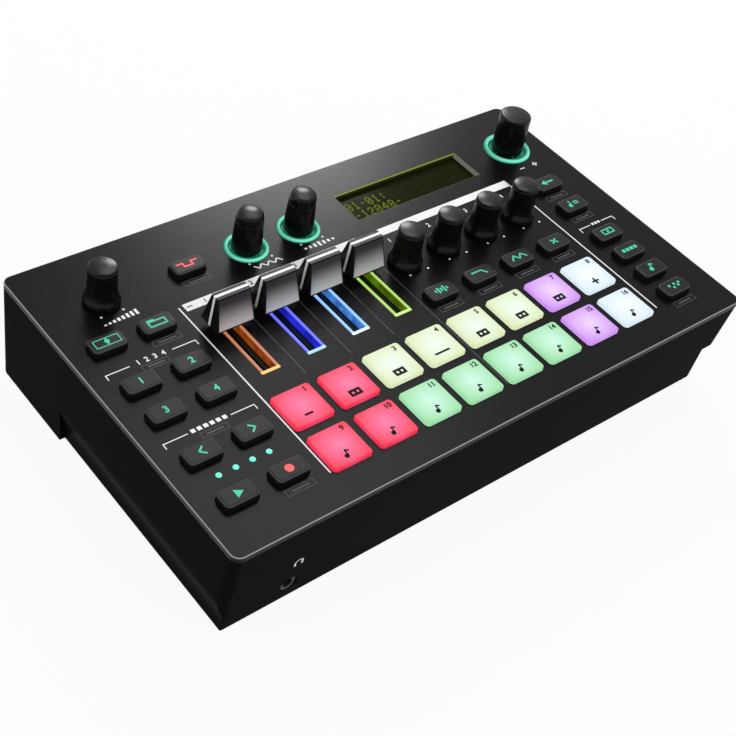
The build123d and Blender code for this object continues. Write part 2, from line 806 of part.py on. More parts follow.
# Pads: square soft keys in two rows, counted from the rear left
for number, (x, y) in enumerate(pad_places, start=1):
    with BuildPart() as pad:
        with BuildSketch(Plane((x, y, flange_bottom))):
            RectangleRounded(pad_size, pad_size, pad_corner)
        extrude(amount=panel_top + pad_rise - flange_bottom)
        fillet(pad.faces().sort_by(Axis.Z)[-1].edges(), pad_edge_radius)
        with BuildSketch(Plane((x, y, flange_bottom))):
            Rectangle(pad_size + 2 * flange_reach, pad_size + 2 * flange_reach)
        extrude(amount=flange_thickness)
    pad.part.label = f"pad_{number}"
    export_step(pad.part, f"parts/pad_{number}.step")

# Skirted knobs on their pot shafts: volume and the four controls
for name, (x, y) in skirted_places.items():
    with BuildPart() as skirted_knob:
        with BuildSketch(upright_plane(x, y)):
            with BuildLine():
                Polyline((bore_radius, knob_gap), (skirt_radius, knob_gap),
                         (skirt_radius, knob_gap + skirt_lip), (body_radius, skirt_height),
                         (cap_radius, skirted_height), (0, skirted_height),
                         (0, skirted_height - bore_cover), (bore_radius, skirted_height - bore_cover),
                         close=True)
            make_face()
        revolve(axis=Axis((x, y, panel_top), (0, 0, 1)))
        fillet(skirted_knob.faces().sort_by(Axis.Z)[-1].edges(), skirted_dome)
        with BuildSketch(Plane((x, y, shaft_foot))):
            Circle(shaft_radius)
        extrude(amount=panel_top + skirted_height - bore_cover - seat_gap - shaft_foot)
    skirted_knob.part.label = name
    export_step(skirted_knob.part, f"parts/{name}.step")

# Effect knobs: tapered, with a domed top and a fine groove below it
for name, (x, y) in effect_places.items():
    with BuildPart() as effect_knob:
        with BuildSketch(upright_plane(x, y)):
            with BuildLine():
                Polyline((bore_radius, knob_gap), (effect_base_radius, knob_gap),
                         (effect_cap_radius, effect_height), (0, effect_height),
                         (0, effect_height - bore_cover), (bore_radius, effect_height - bore_cover),
                         close=True)
            make_face()
        revolve(axis=Axis((x, y, panel_top), (0, 0, 1)))
        fillet(effect_knob.faces().sort_by(Axis.Z)[-1].edges(), effect_dome)
        with BuildSketch(Plane((x, y, panel_top + effect_height - groove_drop))):
            Circle(effect_base_radius + overrun)
            Circle(effect_cap_radius - groove_depth, mode=Mode.SUBTRACT)
        extrude(amount=groove_width, mode=Mode.SUBTRACT)
        with BuildSketch(Plane((x, y, shaft_foot))):
            Circle(shaft_radius)
        extrude(amount=panel_top + effect_height - bore_cover - seat_gap - shaft_foot)
    effect_knob.part.label = name
    export_step(effect_knob.part, f"parts/{name}.step")

# Value knob: a straight knob on the encoder's shaft, which turns without end and can be pushed
with BuildPart() as value_knob:
    with BuildSketch(Plane((*value_place, panel_top + knob_gap))):
        Circle(value_radius)
        Circle(bore_radius, mode=Mode.SUBTRACT)
    extrude(amount=value_height - bore_cover - knob_gap)
    with BuildSketch(Plane((*value_place, panel_top + value_height - bore_cover))):
        Circle(value_radius)
    extrude(amount=bore_cover)
    fillet(value_knob.faces().sort_by(Axis.Z)[-1].edges(), value_dome)
    with BuildSketch(Plane((*value_place, panel_top + value_height - groove_drop))):
        Circle(value_radius + overrun)
        Circle(value_radius - groove_depth, mode=Mode.SUBTRACT)
    extrude(amount=groove_width, mode=Mode.SUBTRACT)
    with BuildSketch(Plane((*value_place, plunger_foot + plunger_height + seat_gap))):
        Circle(shaft_radius)
    extrude(amount=panel_top + value_height - bore_cover - 2 * seat_gap - plunger_foot - plunger_height)
value_knob.part.label = "value_knob"
export_step(value_knob.part, "parts/value_knob.step")

# Plunger: the encoder's push contact, under the foot of the value knob's shaft
with BuildPart() as value_plunger:
    with BuildSketch(Plane((*value_place, plunger_foot))):
        Circle(shaft_radius)
    extrude(amount=plunger_height)
value_plunger.part.label = "value_plunger"
export_step(value_plunger.part, "parts/value_plunger.step")

# Fader caps: tapered caps on flat levers that run in the slide pots
for number, x in enumerate(fader_xs, start=1):
    with BuildPart() as fader_cap:
        with BuildSketch(Plane((x, fader_rear, cap_base))):
            RectangleRounded(cap_width, cap_depth, cap_corner)
        with BuildSketch(Plane((x, fader_rear, cap_base + cap_height))):
            RectangleRounded(cap_top_width, cap_top_depth, cap_corner)
        loft()
        fillet(fader_cap.faces().sort_by(Axis.Z)[-1].edges(), cap_edge_radius)
        with BuildSketch(Plane((x, fader_rear, cap_base))):
            Rectangle(lever_width + 2 * seat_gap, lever_length + 2 * seat_gap)
        extrude(amount=lever_grip, mode=Mode.SUBTRACT)
        with BuildSketch(Plane((x, fader_rear, lever_foot))):
            Rectangle(lever_width, lever_length)
        extrude(amount=cap_base + lever_grip - seat_gap - lever_foot)
    fader_cap.part.label = f"fader_cap_{number}"
    export_step(fader_cap.part, f"parts/fader_cap_{number}.step")
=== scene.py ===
"""Looks of a compact desktop groovebox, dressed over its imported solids.

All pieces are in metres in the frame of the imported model: +X right, +Y the rear, +Z up.
Sizes and places are written in millimetres, and mm turns them into metres.
"""
import math

import bmesh
import bpy
from mathutils import Matrix, Vector


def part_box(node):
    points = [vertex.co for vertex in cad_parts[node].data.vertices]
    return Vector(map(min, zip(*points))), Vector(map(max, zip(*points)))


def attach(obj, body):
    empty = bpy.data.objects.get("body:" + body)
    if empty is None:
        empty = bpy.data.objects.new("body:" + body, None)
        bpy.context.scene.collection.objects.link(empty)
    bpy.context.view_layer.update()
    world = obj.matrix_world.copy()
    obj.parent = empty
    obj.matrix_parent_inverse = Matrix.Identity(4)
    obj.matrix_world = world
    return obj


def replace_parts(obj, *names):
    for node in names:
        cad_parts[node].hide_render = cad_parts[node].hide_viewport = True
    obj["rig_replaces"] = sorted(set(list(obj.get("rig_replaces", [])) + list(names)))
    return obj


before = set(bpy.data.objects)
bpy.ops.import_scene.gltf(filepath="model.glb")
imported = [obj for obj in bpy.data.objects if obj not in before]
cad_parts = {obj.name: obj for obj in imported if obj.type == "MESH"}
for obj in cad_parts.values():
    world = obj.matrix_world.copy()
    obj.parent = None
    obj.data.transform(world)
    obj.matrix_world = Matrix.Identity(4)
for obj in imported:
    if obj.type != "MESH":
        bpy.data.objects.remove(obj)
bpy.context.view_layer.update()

# Top panel: a flat moulded plate, cut through for every control and painted a fine matt charcoal.
# It is screwed down from below, so its face shows no fasteners.
mm = 0.001
moulded_grain = bpy.data.node_groups.new("moulded_grain", "ShaderNodeTree")
for label, kind in (("Place", "Vector"), ("Grain", "Float"), ("Patch", "Float")):
    moulded_grain.interface.new_socket(label, in_out="INPUT", socket_type="NodeSocket" + kind)
for label in ("Height", "Shade"):
    moulded_grain.interface.new_socket(label, in_out="OUTPUT", socket_type="NodeSocketFloat")
grain_in = moulded_grain.nodes.new("NodeGroupInput")
grain_out = moulded_grain.nodes.new("NodeGroupOutput")
for size_name, result, detail in (("Grain", "Height", 3.0), ("Patch", "Shade", 4.0)):
    texture = moulded_grain.nodes.new("ShaderNodeTexNoise")
    texture.inputs["Detail"].default_value = detail
    moulded_grain.links.new(grain_in.outputs["Place"], texture.inputs["Vector"])
    moulded_grain.links.new(grain_in.outputs[size_name], texture.inputs["Scale"])
    moulded_grain.links.new(texture.outputs["Fac"], grain_out.inputs[result])


def ramp(finish, value, start, end, low=0.0, high=1.0):
    """A value that goes from low to high while another goes from start to end."""
    slope = finish.node_tree.nodes.new("ShaderNodeMapRange")
    for label, number in (("From Min", start), ("From Max", end), ("To Min", low), ("To Max", high)):
        slope.inputs[label].default_value = number
    finish.node_tree.links.new(value, slope.inputs["Value"])
    return slope.outputs["Result"]


def product(finish, first, second):
    """The product of two values."""
    times = finish.node_tree.nodes.new("ShaderNodeMath")
    times.operation = "MULTIPLY"
    finish.node_tree.links.new(first, times.inputs[0])
    finish.node_tree.links.new(second, times.inputs[1])
    return times.outputs["Value"]


def blended(finish, share, first, second):
    """A mix of two colours by a share; each is three numbers or another node's output."""
    mix = finish.node_tree.nodes.new("ShaderNodeMix")
    mix.data_type = "RGBA"
    finish.node_tree.links.new(share, mix.inputs["Factor"])
    for label, colour in (("A", first), ("B", second)):
        if isinstance(colour, tuple):
            mix.inputs[label].default_value = (*colour, 1.0)
        else:
            finish.node_tree.links.new(colour, mix.inputs[label])
    return mix


def parts_of(finish, kind):
    """The X, Y and Z of where a surface lies, or of the way that it faces."""
    split = finish.node_tree.nodes.new("ShaderNodeSeparateXYZ")
    source = finish.node_tree.nodes["Texture Coordinate"].outputs[kind]
    finish.node_tree.links.new(source, split.inputs["Vector"])
    return split.outputs


pore_depth, pore_strength, pore_range = 0.02 * mm, 0.6, (0.3, 0.7)
highlight_slopes = ((0.30, 0.50), (0.97, 0.88))


def moulded(name, dark, light, rough, grain=2600.0, patch=60.0, depth=pore_depth, specular=0.3,
            metallic=0.0, edge_highlight=None):
    """A moulded surface: two close tones in soft patches, uneven gloss and fine pores.

    A painted highlight colour, where one is given, lightens edges that round over upwards.
    """
    finish = bpy.data.materials.new(name)
    finish.use_nodes = True
    nodes, links = finish.node_tree.nodes, finish.node_tree.links
    shader = nodes["Principled BSDF"]
    shader.inputs["Specular IOR Level"].default_value = specular
    shader.inputs["Metallic"].default_value = metallic
    place = nodes.new("ShaderNodeTexCoord")
    skin = nodes.new("ShaderNodeGroup")
    skin.node_tree = moulded_grain
    skin.inputs["Grain"].default_value = grain
    skin.inputs["Patch"].default_value = patch
    links.new(place.outputs["Object"], skin.inputs["Place"])
    tone = blended(finish, skin.outputs["Shade"], dark, light)
    # Painted highlight: faces that tilt partly upwards, as on rounded edges, take a pale colour.
    if edge_highlight:
        slant = parts_of(finish, "Normal")["Z"]
        highlight_share = product(finish, *(ramp(finish, slant, start, end) for start, end in highlight_slopes))
        tone = blended(finish, highlight_share, tone.outputs["Result"], edge_highlight)
    links.new(tone.outputs["Result"], shader.inputs["Base Color"])
    gloss = ramp(finish, skin.outputs["Height"], *pore_range, *rough)
    links.new(gloss, shader.inputs["Roughness"])
    relief = nodes.new("ShaderNodeBump")
    relief.inputs["Strength"].default_value = pore_strength
    relief.inputs["Distance"].default_value = depth
    links.new(skin.outputs["Height"], relief.inputs["Height"])
    links.new(relief.outputs["Normal"], shader.inputs["Normal"])
    return finish


def dress(node, finish):
    """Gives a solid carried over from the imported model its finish."""
    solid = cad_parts[node]
    solid.data.materials.clear()
    solid.data.materials.append(finish)


def middle_of(node):
    """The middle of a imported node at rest, in millimetres."""
    low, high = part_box(node)
    return (low + high) / 2 / mm


def levels_of(node):
    """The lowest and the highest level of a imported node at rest, in millimetres."""
    low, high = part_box(node)
    return low.z / mm, high.z / mm


# The panel's edges that round over upwards are given a pale painted highlight.
panel_paint = moulded("panel_paint", (0.0032, 0.0032, 0.0038), (0.0052, 0.0052, 0.0060), (0.20, 0.28),
                      specular=0.078, edge_highlight=(0.36, 0.36, 0.37))
dress("top_panel", panel_paint)
panel_top = levels_of("top_panel")[1]

# Lower case, battery door and rubber feet: the case is one black moulding with a satin grain,
# the door snaps into its underside, and the feet are set in shallow seats.
case_black = moulded("case_black", (0.0042, 0.0042, 0.0045), (0.0064, 0.0064, 0.0068), (0.30, 0.42),
                     specular=0.0018)
dress("lower_case", case_black)
dress("battery_door", case_black)
foot_rubber = moulded("foot_rubber", (0.010, 0.010, 0.010), (0.022, 0.022, 0.022), (0.75, 0.9),
                      grain=1500.0, depth=0.05 * mm)
dress("feet", foot_rubber)

# Screws, main board and encoder plunger: plated steel, green solder mask and a steel pin,
# seen only from below, through the openings or with a knob off.
screw_steel = moulded("screw_steel", (0.42, 0.42, 0.43), (0.58, 0.58, 0.60), (0.28, 0.42), grain=900.0,
                      specular=0.5, metallic=1.0)
dress("screws", screw_steel)
dress("value_plunger", screw_steel)
solder_mask = moulded("solder_mask", (0.006, 0.012, 0.008), (0.010, 0.020, 0.012), (0.35, 0.5), grain=1200.0)
dress("main_board", solder_mask)

# Printing on the panel: thin white lines, bars with black figures, brackets, end dots and plain symbols,
# and faint grey frames for second functions, screen printed a few hundredths of a millimetre thick.
ink_height, ink_lift = 0.03, 0.005
ink_level = panel_top + ink_lift + ink_height / 2


def named(name):
    """The piece that was just added, with its name."""
    piece = bpy.context.active_object
    piece.name = piece.data.name = name
    return piece


def start_piece(name):
    """An empty piece in edit mode, to which primitives are then added."""
    bpy.ops.object.select_all(action="DESELECT")
    bpy.ops.mesh.primitive_plane_add(size=mm)
    piece = named(name)
    bpy.ops.object.mode_set(mode="EDIT")
    bpy.ops.mesh.delete(type="VERT")
    return piece


def add_block(x, y, z, size, rotation=(0, 0, 0)):
    """A block centred at a place, in millimetres."""
    bpy.ops.mesh.primitive_cube_add(size=1.0, location=(x * mm, y * mm, z * mm), rotation=rotation,
                                    scale=[side * mm for side in size])


def add_bar(x, y, width, depth, level, turn=0.0, height=ink_height):
    """A flat bar centred at a place, turned about its upright axis."""
    add_block(x, y, level, (width, depth, height), (0, 0, turn))


def add_dot(x, y, radius, level, sides=20, turn=0.0):
    """A flat disc, or a triangle of three sides, centred at a place."""
    bpy.ops.mesh.primitive_cylinder_add(vertices=sides, radius=radius * mm, depth=ink_height * mm,
                                        location=(x * mm, y * mm, level * mm), rotation=(0, 0, turn))


def add_frame(x, y, width, depth, line, level):
    """The outline of a box, as four bars."""
    for side in (-1, 1):
        add_bar(x, y + side * (depth - line) / 2, width, line, level)
        add_bar(x + side * (width - line) / 2, y, line, depth - 2 * line, level)


def select_only(piece):
    """Selects one piece and makes it active, in object mode."""
    if bpy.context.mode == "EDIT_MESH":
        bpy.ops.object.mode_set(mode="OBJECT")
    bpy.ops.object.select_all(action="DESELECT")
    piece.select_set(True)
    bpy.context.view_layer.objects.active = piece


def add_figure(piece, text, x, y, size, level, bold=0.05):
    """Leaves edit mode and joins a plain figure to the piece, as a raised mark."""
    select_only(piece)
    bpy.ops.object.select_all(action="DESELECT")
    bpy.ops.object.text_add(location=(x * mm, y * mm, level * mm))
    figure = bpy.context.active_object
    figure.data.body = text
    figure.data.size = size * mm
    figure.data.extrude = ink_height * mm / 2
    figure.data.offset = bold * mm
    figure.data.resolution_u = 4
    figure.data.align_x = "CENTER"
    figure.data.align_y = "CENTER"
    bpy.ops.object.convert(target="MESH")
    piece.select_set(True)
    bpy.context.view_layer.objects.active = piece
    bpy.ops.object.join()


def end_piece(piece, finish, body):
    """Leaves edit mode, puts the piece's place in its mesh, and fixes it to a body."""
    select_only(piece)
    bpy.ops.object.transform_apply(location=True, rotation=True, scale=True)
    piece.data.materials.clear()
    piece.data.materials.append(finish)
    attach(piece, body)


ink_gloss, ink_grain = (0.5, 0.65), 3000.0
white_ink = moulded("white_ink", (0.90, 0.90, 0.90), (0.96, 0.96, 0.96), ink_gloss, grain=ink_grain)
grey_ink = moulded("grey_ink", (0.075, 0.075, 0.08), (0.105, 0.105, 0.11), ink_gloss, grain=ink_grain)
black_ink = moulded("black_ink", (0.004, 0.004, 0.005), (0.008, 0.008, 0.009), ink_gloss, grain=ink_grain,
                    specular=0.05)
white_print = start_piece("white_print")
side_line = 0.5
for x, y, length in ((-69.2, -13.4, 81.6), (79.3, -13.0, 80.4)):
    add_bar(x, y, side_line, length, ink_level)
bar_row, bar_depth = 26.4, 3.5
for x, width in ((47.4, 63.8), (-31.0, 73.0)):
    add_bar(x, bar_row, width, bar_depth, ink_level)
bracket_line, bracket_leg, leg_drop, leg_inset = 0.35, 2.0, 1.1, 0.15
for x, y, span, gap in ((-89.2, 12.4, 33.2, 15.6), (-89.3, -20.0, 33.3, 15.6), (94.0, -7.8, 18.0, 6.0)):
    for side in (-1, 1):
        add_bar(x + side * (span + gap) / 4, y, (span - gap) / 2, bracket_line, ink_level)
        add_bar(x + side * (span / 2 - leg_inset), y - leg_drop, bracket_line, bracket_leg, ink_level)
for count, x, pitch, y, size in ((6, -95.1, 2.3, -19.8, 1.5), (3, 92.4, 1.6, -7.7, 1.1)):
    for step in range(count):
        add_bar(x + pitch * step, y, size, size, ink_level)
end_dot, control_dot_row, control_dot_reach = 0.42, 3.05, 4.1
dot_pairs = [(-89.1, 35.4, 4.1), (-31.2, 34.3, 4.7), (-9.1, 34.3, 4.7)]
dot_pairs += [(x, control_dot_row, control_dot_reach) for x in (14.7, 33.2, 51.9, 70.2)]
for x, y, half in dot_pairs:
    for side in (-1, 1):
        add_dot(x + side * half, y, end_dot, ink_level)
rise_count, rise_first, rise_pitch, rise_foot = 8, -93.8, 1.7, 31.4
rise_width, least_rise, rise_step = 0.95, 0.6, 0.27
for step in range(rise_count):
    tall = least_rise + rise_step * step
    add_bar(rise_first + rise_pitch * step, rise_foot + tall / 2, rise_width, tall, ink_level)
sign_row, sign_count = 31.8, 7
wave_first, wave_pitch, wave_length, wave_line, wave_turn = -34.6, 1.6, 2.3, 0.5, 0.85
for step in range(sign_count):
    turn = wave_turn if step % 2 else -wave_turn
    add_bar(wave_first + wave_pitch * step, sign_row, wave_length, wave_line, ink_level, turn)
swell_first, swell_pitch, swell_width, least_swell, swell_step = -13.6, 2.0, 1.0, 0.9, 0.45
for step in range(sign_count):
    tall = least_swell + swell_step * min(step, sign_count - 1 - step)
    add_bar(swell_first + swell_pitch * step, sign_row, swell_width, tall, ink_level)
minus_x, plus_x, plus_row, plus_size, plus_line = 91.6, 98.2, 30.6, 2.4, 0.55
for x, turn in ((minus_x, 0.0), (plus_x, 0.0), (plus_x, math.pi / 2)):
    add_bar(x, plus_row, plus_size, plus_line, ink_level, turn)
figure_size, control_row = 2.8, 21.3
for number, x in enumerate((16.1, 34.6, 53.0, 71.4), start=1):
    add_figure(white_print, str(number), x, control_row, figure_size, ink_level)
track_x, track_row, track_size = -89.2, 12.5, 2.9
add_figure(white_print, "1  2  3  4", track_x, track_row, track_size, ink_level)
end_piece(white_print, white_ink, "root")

bar_figures = start_piece("bar_figures")
over_ink = ink_level + ink_height
dash_x, dash_width, dash_line = -65.6, 2.2, 0.4
add_bar(dash_x, bar_row, dash_width, dash_line, over_ink)
for number in range(1, 5):
    add_figure(bar_figures, str(number), middle_of("fader_cap_%d" % number).x, bar_row, figure_size, over_ink)
end_piece(bar_figures, black_ink, "root")

grey_print = start_piece("grey_print")
hair_line, frame_line, strip_line = 0.22, 0.18, 0.5
for x, y, length in ((-50.4, -2.9, 28.6), (-31.9, -2.9, 28.6), (-13.6, -2.9, 28.6), (4.6, -21.0, 65.8)):
    add_bar(x, y, hair_line, length, ink_level)
second_drop = 6.1
second_frames = []
for key in ("effect_button", "project_button", "record_button", "sound_button", "filter_button",
            "modulation_button", "effect_send_button", "exit_button", "tempo_button", "scatter_button"):
    second_frames.append((middle_of(key).x, middle_of(key).y - second_drop, 10.4, 2.5, 6.4))
second_frames += [(track_x, 9.5, 9.6, 2.4, 6.0), (track_x, -22.9, 9.6, 2.4, 6.0)]
for x, y, width, depth, strip in second_frames:
    add_frame(x, y, width, depth, frame_line, ink_level)
    add_bar(x, y, strip, strip_line, ink_level)
end_piece(grey_print, grey_ink, "root")

# Keys: short moulded caps with a lit legend on the top, plain figures or simple symbols.
# Each legend is a thin print on its own key and goes down with it.
# The keys' edges that round over upwards are given a faint painted highlight.
key_black = moulded("key_black", (0.0065, 0.0065, 0.0074), (0.0100, 0.0100, 0.0110), (0.30, 0.42),
                    specular=0.12, edge_highlight=(0.060, 0.060, 0.064))
dark_share, gloss_spread, lit_patch = 0.7, 0.1, 300.0


def lit(name, dim, bright, body, rough=0.4, specular=0.3):
    """A lit surface: its glow drifts between two tones over a coloured body."""
    finish = moulded(name, tuple(dark_share * c for c in body), body, (rough, rough + gloss_spread),
                     patch=lit_patch, specular=specular)
    nodes = finish.node_tree.nodes
    shader = nodes["Principled BSDF"]
    shader.inputs["Emission Strength"].default_value = 1.0
    glow = blended(finish, nodes["Group"].outputs["Shade"], dim, bright)
    glow.name = "glow"
    finish.node_tree.links.new(glow.outputs["Result"], shader.inputs["Emission Color"])
    return finish


def drive_glow(finish, share):
    """Lets a share that changes over the surface choose between a lit finish's two tones."""
    finish.node_tree.links.new(share, finish.node_tree.nodes["glow"].inputs["Factor"])


legend_green = lit("legend_green", (0.010, 0.42, 0.24), (0.030, 0.62, 0.38), (0.02, 0.10, 0.06))
legend_red = lit("legend_red", (0.85, 0.05, 0.06), (1.0, 0.10, 0.11), (0.12, 0.02, 0.02))
# A bar is x, y, width and depth, a dot is x, y, radius and sides, and either may have a turn
key_marks = {
    "shift_button": [
        ("dot", 0, 0.35, 1.0, 3), ("bar", 0, -0.55, 0.7, 0.8), ("bar", 0, 1.3, 7.2, 0.25),
        ("bar", 0, -1.3, 7.2, 0.25), ("bar", -3.5, 0, 0.25, 2.4), ("bar", 3.5, 0, 0.25, 2.4)],
    "project_button": [
        ("bar", 0, -1.1, 5.2, 0.45), ("bar", 0, 0.7, 5.2, 0.45), ("bar", -2.4, -0.2, 0.45, 2.2),
        ("bar", 2.4, -0.2, 0.45, 2.2), ("bar", -1.5, 1.2, 2.2, 0.45)],
    **{"track_button_%d" % number: [("figure", str(number))] for number in range(1, 5)},
    "measure_back_button": [("bar", 0, 0.65, 2.0, 0.5, 0.7), ("bar", 0, -0.55, 2.0, 0.5, -0.7)],
    "measure_forward_button": [("bar", 0, 0.65, 2.0, 0.5, -0.7), ("bar", 0, -0.55, 2.0, 0.5, 0.7)],
    "play_button": [("dot", 0, 0, 1.5, 3, -math.pi / 2)],
    "record_button": [("dot", 0, 0, 1.2, 24)],
    "effect_button": [
        ("bar", -2.4, 0.7, 1.8, 0.5), ("bar", -1.3, 0, 0.5, 1.9), ("bar", 0, -0.7, 2.1, 0.5),
        ("bar", 1.3, 0, 0.5, 1.9), ("bar", 2.4, 0.7, 1.8, 0.5)],
    "sound_button": [
        ("bar", x, 0, 0.6, tall) for x, tall in ((-2.0, 1.0), (-1.0, 2.2), (0, 1.4), (1.0, 2.4), (2.0, 0.9))],
    "filter_button": [("bar", -1.1, 0.8, 3.4, 0.5), ("bar", 1.4, 0, 2.3, 0.5, -0.9)],
    "modulation_button": [
        ("bar", -1.9, 0, 2.4, 0.5, 0.9), ("bar", -0.55, 0, 2.4, 0.5, -0.9),
        ("bar", 0.8, 0, 2.4, 0.5, 0.9), ("bar", 2.15, 0, 2.4, 0.5, -0.9)],
    "effect_send_button": [("bar", 0, 0, 2.6, 0.5, 0.7), ("bar", 0, 0, 2.6, 0.5, -0.7)],
    "exit_button": [("dot", -1.3, 0, 1.3, 3, math.pi / 2), ("bar", 0.9, 0, 2.6, 0.6)],
    "tempo_button": [
        ("dot", -1.6, -0.7, 0.7, 20), ("bar", -1.1, 0.3, 0.35, 2.2), ("bar", 1.0, 0.35, 2.0, 0.4),
        ("bar", 1.0, -0.45, 2.0, 0.4)],
    "clip_button": [
        ("bar", 0, 0.9, 4.4, 0.45), ("bar", 0, -0.9, 4.4, 0.45), ("bar", -2.0, 0, 0.45, 1.4),
        ("bar", 2.0, 0, 0.45, 1.4), ("dot", 0, 0, 0.5, 16)],
    "sequence_button": [("bar", x, 0, 1.2, 1.2) for x in (-2.4, -0.8, 0.8, 2.4)],
    "note_button": [
        ("dot", -0.7, -0.7, 0.75, 20), ("bar", -0.15, 0.3, 0.4, 2.4),
        ("bar", 0.5, 1.1, 1.3, 0.5, -0.5)],
    "scatter_button": [
        ("dot", x, y, 0.45, 16)
        for x, y in ((-1.8, 0.5), (-0.6, -0.6), (0.3, 0.6), (1.3, -0.3), (2.2, 0.6))],
}
legend_scale, legend_lift, legend_figure, legend_bold = 1.25, 0.003, 3.7, 0.10


def add_marks(marks, centre, level, scale=1.0):
    """Adds the bars and dots of a symbol round a place."""
    for form, *sizes in marks:
        if form == "bar":
            x, y, width, depth, *turn = sizes
            add_bar(centre.x + scale * x, centre.y + scale * y, scale * width, scale * depth, level, *turn)
        elif form == "dot":
            x, y, radius, sides, *turn = sizes
            add_dot(centre.x + scale * x, centre.y + scale * y, scale * radius, level, sides, *turn)


for key, marks in key_marks.items():
    dress(key, key_black)
    centre = middle_of(key)
    level = levels_of(key)[1] + legend_lift + ink_height / 2
    legend = start_piece("legend_" + key)
    add_marks(marks, centre, level, legend_scale)
    for form, *sizes in marks:
        if form == "figure":
            add_figure(legend, sizes[0], centre.x, centre.y, legend_figure, level, bold=legend_bold)
    red = key in ("effect_button", "record_button")
    end_piece(legend, legend_red if red else legend_green, key)

# Pads: soft square keys of milky silicone over coloured lights, brightest over the lamp in the middle.
# Each carries a small printed number in its rear corner and a plain mark nearer the player.
pad_columns, pad_half, rim_share, pad_body_share = 8, 7.5 * mm, 0.85, 0.12
pad_first = middle_of("pad_1") * mm
pad_last = middle_of("pad_16") * mm
pad_pitch = (pad_last.x - pad_first.x) / (pad_columns - 1)
pad_row_pitch = pad_first.y - pad_last.y
lamp_spread = bpy.data.node_groups.new("lamp_spread", "ShaderNodeTree")
lamp_spread.interface.new_socket("Place", in_out="INPUT", socket_type="NodeSocketVector")
lamp_spread.interface.new_socket("Rim", in_out="OUTPUT", socket_type="NodeSocketFloat")
spread_in = lamp_spread.nodes.new("NodeGroupInput")
spread_out = lamp_spread.nodes.new("NodeGroupOutput")
split = lamp_spread.nodes.new("ShaderNodeSeparateXYZ")
lamp_spread.links.new(spread_in.outputs["Place"], split.inputs["Vector"])


def spread_math(operation, first, second=None):
    """One step of the sum that measures how far a point lies from its own pad's middle."""
    step = lamp_spread.nodes.new("ShaderNodeMath")
    step.operation = operation
    for socket, value in zip(step.inputs, (first, second)):
        if isinstance(value, (int, float)):
            socket.default_value = value
        elif value is not None:
            lamp_spread.links.new(value, socket)
    return step.outputs["Value"]


reach = []
for axis, start, pitch in (("X", pad_first.x, pad_pitch), ("Y", pad_first.y, pad_row_pitch)):
    column = spread_math("DIVIDE", spread_math("SUBTRACT", split.outputs[axis], start), pitch)
    offset = spread_math("SUBTRACT", column, spread_math("ROUND", column))
    share = spread_math("DIVIDE", spread_math("MULTIPLY", offset, pitch), pad_half)
    reach.append(spread_math("POWER", spread_math("ABSOLUTE", share), 2.0))
far = spread_math("POWER", spread_math("ADD", *reach), 0.5)
rim_glow = spread_math("MINIMUM", spread_math("MULTIPLY", far, rim_share), 1.0)
lamp_spread.links.new(rim_glow, spread_out.inputs["Rim"])

pad_colours = {
    "pad_red": ((1, 2, 9, 10), (0.83, 0.028, 0.076), (0.86, 0.190, 0.390)),
    "pad_cream": ((3, 4, 5, 6), (0.66, 0.75, 0.46), (0.78, 0.89, 0.84)),
    "pad_mint": ((11, 12, 13, 14), (0.32, 0.68, 0.36), (0.58, 0.89, 0.75)),
    "pad_violet": ((7, 15), (0.57, 0.27, 0.82), (0.82, 0.64, 0.88)),
    "pad_white": ((8, 16), (0.66, 0.77, 0.85), (0.86, 0.90, 0.90)),
}
for name, (numbers, rim, middle) in pad_colours.items():
    silicone = lit(name, middle, rim, tuple(pad_body_share * c for c in rim), rough=0.5)
    nodes, links = silicone.node_tree.nodes, silicone.node_tree.links
    lamp = nodes.new("ShaderNodeGroup")
    lamp.node_tree = lamp_spread
    links.new(nodes["Texture Coordinate"].outputs["Object"], lamp.inputs["Place"])
    drive_glow(silicone, lamp.outputs["Rim"])
    for number in numbers:
        dress("pad_%d" % number, silicone)
mark_shift, mark_drop = -0.4, 3.9
box_width, box_depth, box_line, box_dot = 4.6, 2.8, 0.95, 0.9
short_dash, long_dash, dash_depth, stub_width, stub_depth = 3.2, 6.4, 0.8, 0.8, 1.2
pad_note = (("dot", -0.9, -4.7, 0.85, 20), ("bar", -0.3, -3.6, 0.5, 2.4), ("bar", 0.3, -2.75, 1.5, 0.6, -0.5))
number_x, number_y, number_bold = 4.7, 5.2, 0.09
for number in range(1, 17):
    pad = "pad_%d" % number
    centre = middle_of(pad)
    mark_x, mark_y = centre.x + mark_shift, centre.y - mark_drop
    level = levels_of(pad)[1] + legend_lift + ink_height / 2
    mark = start_piece("print_" + pad)
    if number in (2, 3, 5, 6, 7):
        add_frame(mark_x, mark_y, box_width, box_depth, box_line, level)
        add_bar(mark_x, mark_y, box_dot, box_dot, level)
    elif number > pad_columns:
        add_marks(pad_note, centre, level)
    else:
        add_bar(mark_x, mark_y, long_dash if number == 4 else short_dash, dash_depth, level)
    if number == pad_columns:
        for step in (1, -1):
            add_bar(mark_x, mark_y + step, stub_width, stub_depth, level)
    add_figure(mark, str(number), centre.x + number_x, centre.y + number_y, figure_size, level,
               bold=number_bold)
    end_piece(mark, black_ink, pad)

# Knobs: black moulded caps pressed on metal shafts. Volume and the four controls flare into a scalloped
# skirt and have a milled rim under a flat top, the effect knobs are domed, the value knob is a barrel.
knob_black = moulded("knob_black", (0.0025, 0.0025, 0.0030), (0.0045, 0.0045, 0.0050), (0.20, 0.30),
                     specular=0.17)


